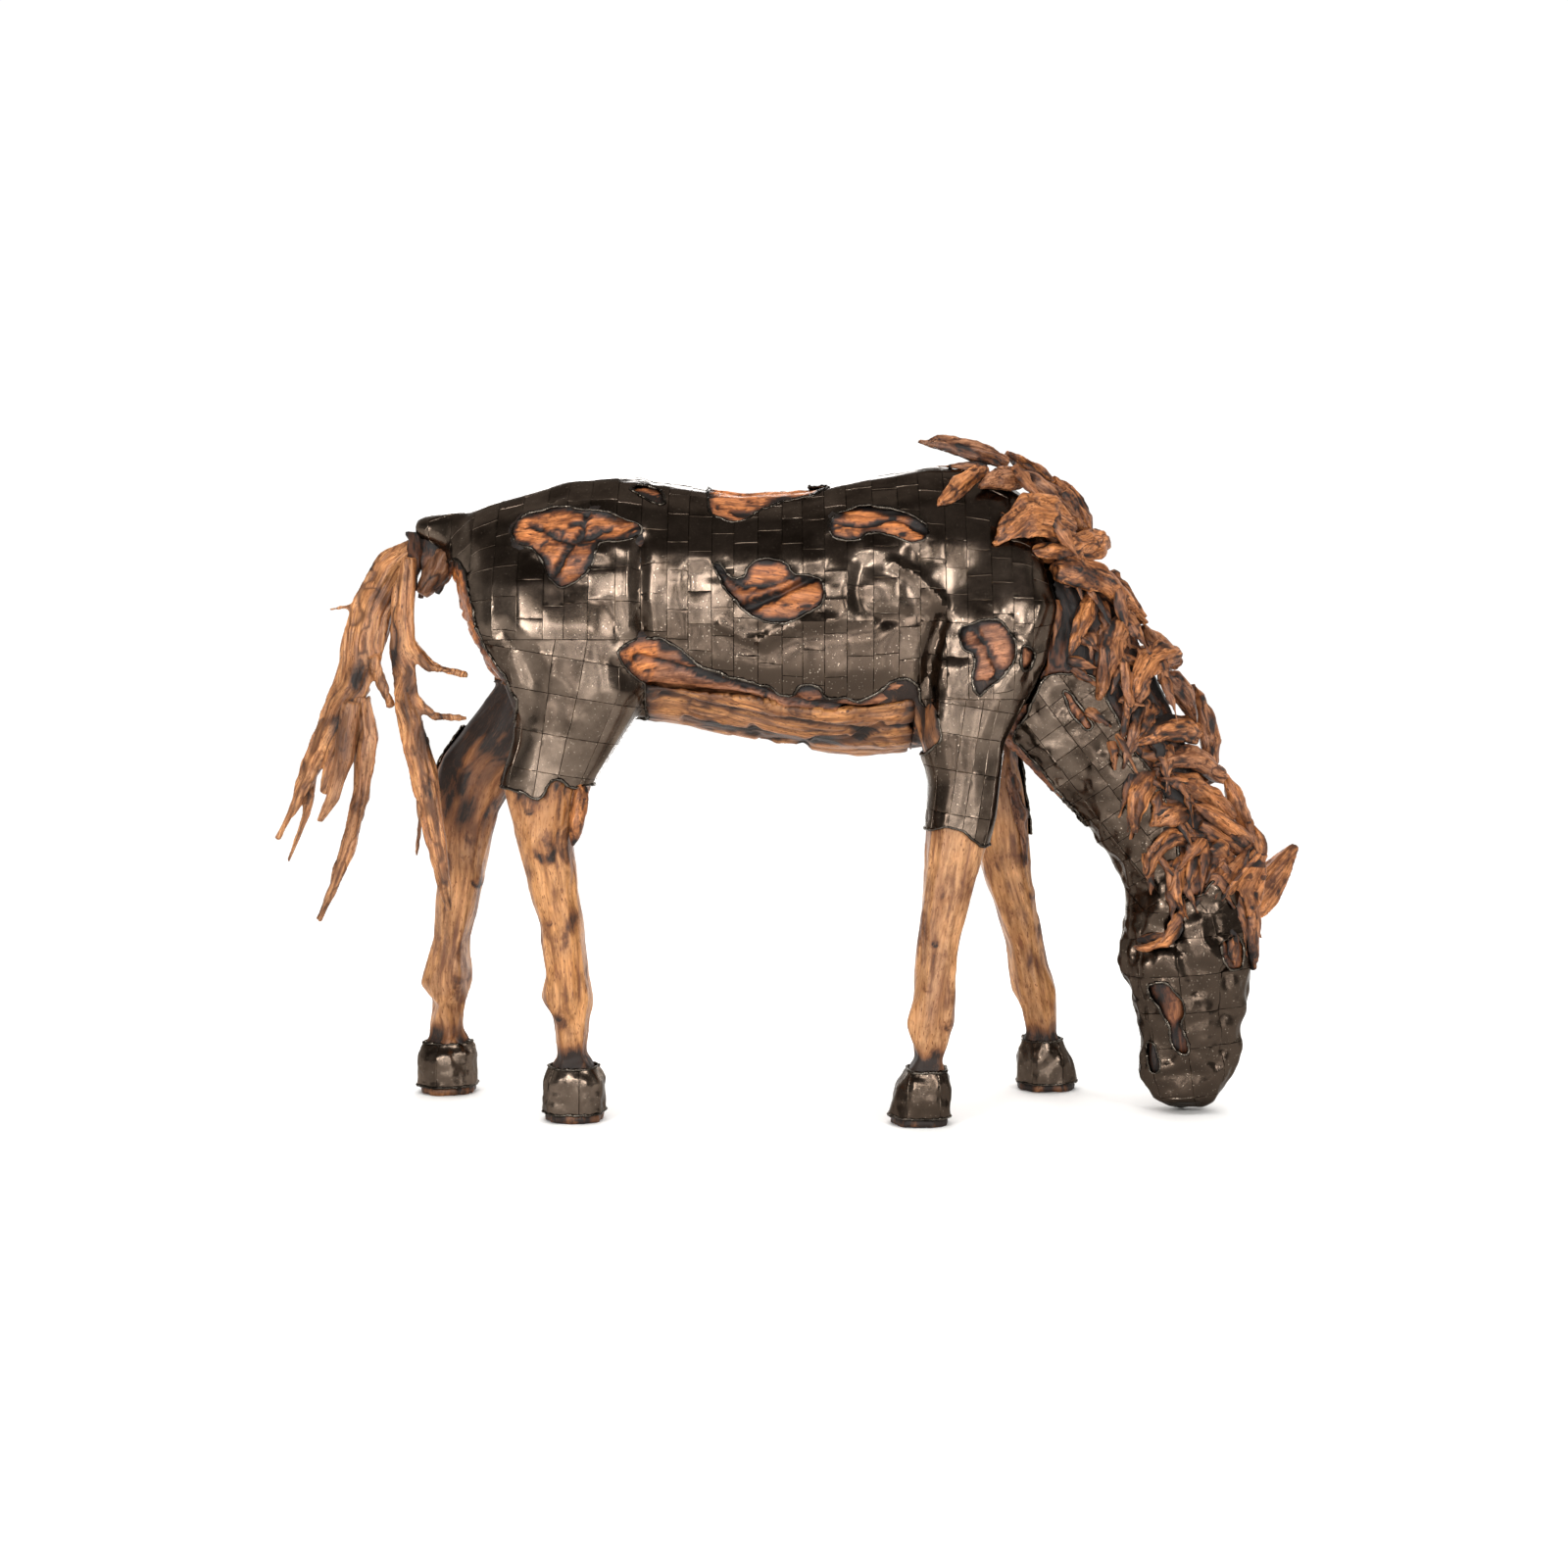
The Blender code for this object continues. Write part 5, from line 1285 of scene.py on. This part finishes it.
for start, end, width in SINGLE:
    root, tip = surface_at(mane_wall, *start), surface_at(mane_wall, *end)
    grains.append(split_shard(
        sheaf, root + lift * 0.3, tip + lift, out, width * CM * 1.15, width * CM * 0.65, bow=0.06
    ))
# The dock, pieced out with blunt lumps of the same wood
for start, end, width in (
    ((-74.0, 130.0), (-79.6, 117.0), 8.5), ((-79.0, 132.0), (-83.4, 116.0), 9.0),
    ((-84.6, 131.0), (-84.4, 117.6), 7.0),
):
    root, tip = (Vector((*side([place])[0], 0.0)).xzy for place in (start, end))
    grains.append(split_shard(sheaf, root, tip, out, width * CM, width * CM, bow=0.02))
shards = mesh_of(sheaf, "small_shards")
spots = spots_of(shards)
at_dock = spots[:, 0] < -0.7
carve(
    shards, np.concatenate(grains), flute=(0.012, 0.09, 0.0026), lump=(0.03, 0.002),
    scorch_and_shade=0.3 + 0.5 * at_dock, seed=821, tone=-0.15 - 0.5 * at_dock + 0.25 * (spots[:, 2] < CHEST),
)
shards = hewn(shards, share=0.5)
fitted("small_shards", shards, mane_teak, "mane_wood")
shards.set_sharp_from_angle(angle=CHISEL_EDGE)


# Ears
# Two hollow leaves of root wood, carved smooth. The near one is flecked with burns, and the far one less. It
# stands on a root that grows from the brow.
for name, burns, seed in (("near_ear", 0.9, 701), ("far_ear", 0.3, 711)):
    ear = melted([name], voxel=0.003, smoothing=4)
    spots = spots_of(ear)
    flecks = ease(noise(spots / 0.014, 705), 0.15, 0.45) * burns
    carve(
        ear, grain_of(spots, 4), flute=(0.020, 0.20, 0.0007), lump=(0.03, 0.001), scorch_and_shade=flecks, soot=0.2,
        seed=seed, tone=0.15,
    )
    fitted("carved_" + name, ear, mane_teak, "leg_wood", name)


# Head and neck plating
# Steel as on the trunk: plates set aslant on the neck, and larger ones, beaten into hollows, over cheek and
# nose.
HEAD_SHEET_OFF = 0.0045  # the outer face of the plates, above the wood
NECK_PLATE = (0.054, 0.058)
FACE_PLATE = 0.105
FACE_PLATES_ROUND = 6.6
# Folds of the face, in the same words as those of the trunk
FACE_FOLDS = [
    ([(87.0, 42.0), (88.6, 37.0), (90.0, 32.5), (92.0, 28.0)], 1.5, 1.3),
    ([(81.6, 39.4), (85.0, 38.4), (88.6, 37.0)], 1.1, 0.7),
    ([(92.5, 43.0), (93.5, 38.0), (95.6, 34.6), (100.0, 34.0)], 1.6, -1.0),
    ([(96.0, 14.6), (95.2, 12.2), (96.6, 11.0)], 1.4, 1.0),
    ([(84.0, 33.6), (90.6, 30.4), (94.6, 22.0), (93.6, 12.0)], 1.8, -0.6),
    ([(98.6, 31.0), (97.6, 22.0), (98.2, 15.0)], 1.5, 0.7),
    ([(84.6, 8.4), (90.0, 9.8), (97.0, 8.6)], 1.2, 0.6),
]


def dented(points):
    """The hammer marks of the head, with the hollows and ridges of brow, cheek and nose."""
    push = 0.0066 * noise(points / 0.046, 601) + 0.0022 * noise(points / 0.021, 602)
    for line, width, depth in FACE_FOLDS:
        off = apart(points[:, [0, 2]], side(line)) / (width * CM)
        push -= depth * CM * np.exp(-(off**2))
    border = np.abs(head_field(points))
    jaw = ease(points[:, 0], 0.81, 0.77) * ease(points[:, 2], 0.48, 0.42)
    return push + 0.0022 * noise(points / 0.014, 603) * np.maximum(ease(border, 0.03, 0.005), jaw)


bm = sheet_from(melted(["neck_and_head"], voxel=0.0070, smoothing=5), HEAD_SHEET_OFF, dented)
trimmed(bm, head_field)
jaw_line = side([(0.0, 45.0)])[0][1]
face = {face for face in bm.faces if face.calc_center_median().z < jaw_line}
face = seam_cut(bm, face, Vector((0.0, 0.0, jaw_line)), up)
throat = set(bm.faces) - face
for strip in strips_cut(bm, throat, Vector((0.79, 0.0, 0.61)), NECK_PLATE[0], rng):
    strips_cut(bm, strip, Vector((-0.61, 0.0, 0.79)), NECK_PLATE[1], rng)
low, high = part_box("face_plating")
muzzlewards = Vector((0.12, 0.0, -0.99)).normalized()
face = round_cut(bm, face, (low + high) / 2.0, muzzlewards, 2.0 * math.pi / FACE_PLATES_ROUND, rng)
strips_cut(bm, face, Vector((0.08, 0.0, -1.0)), FACE_PLATE, rng, 0.3)
plated("welded_head_plating", bm, rng, ["neck_plating", "face_plating"])
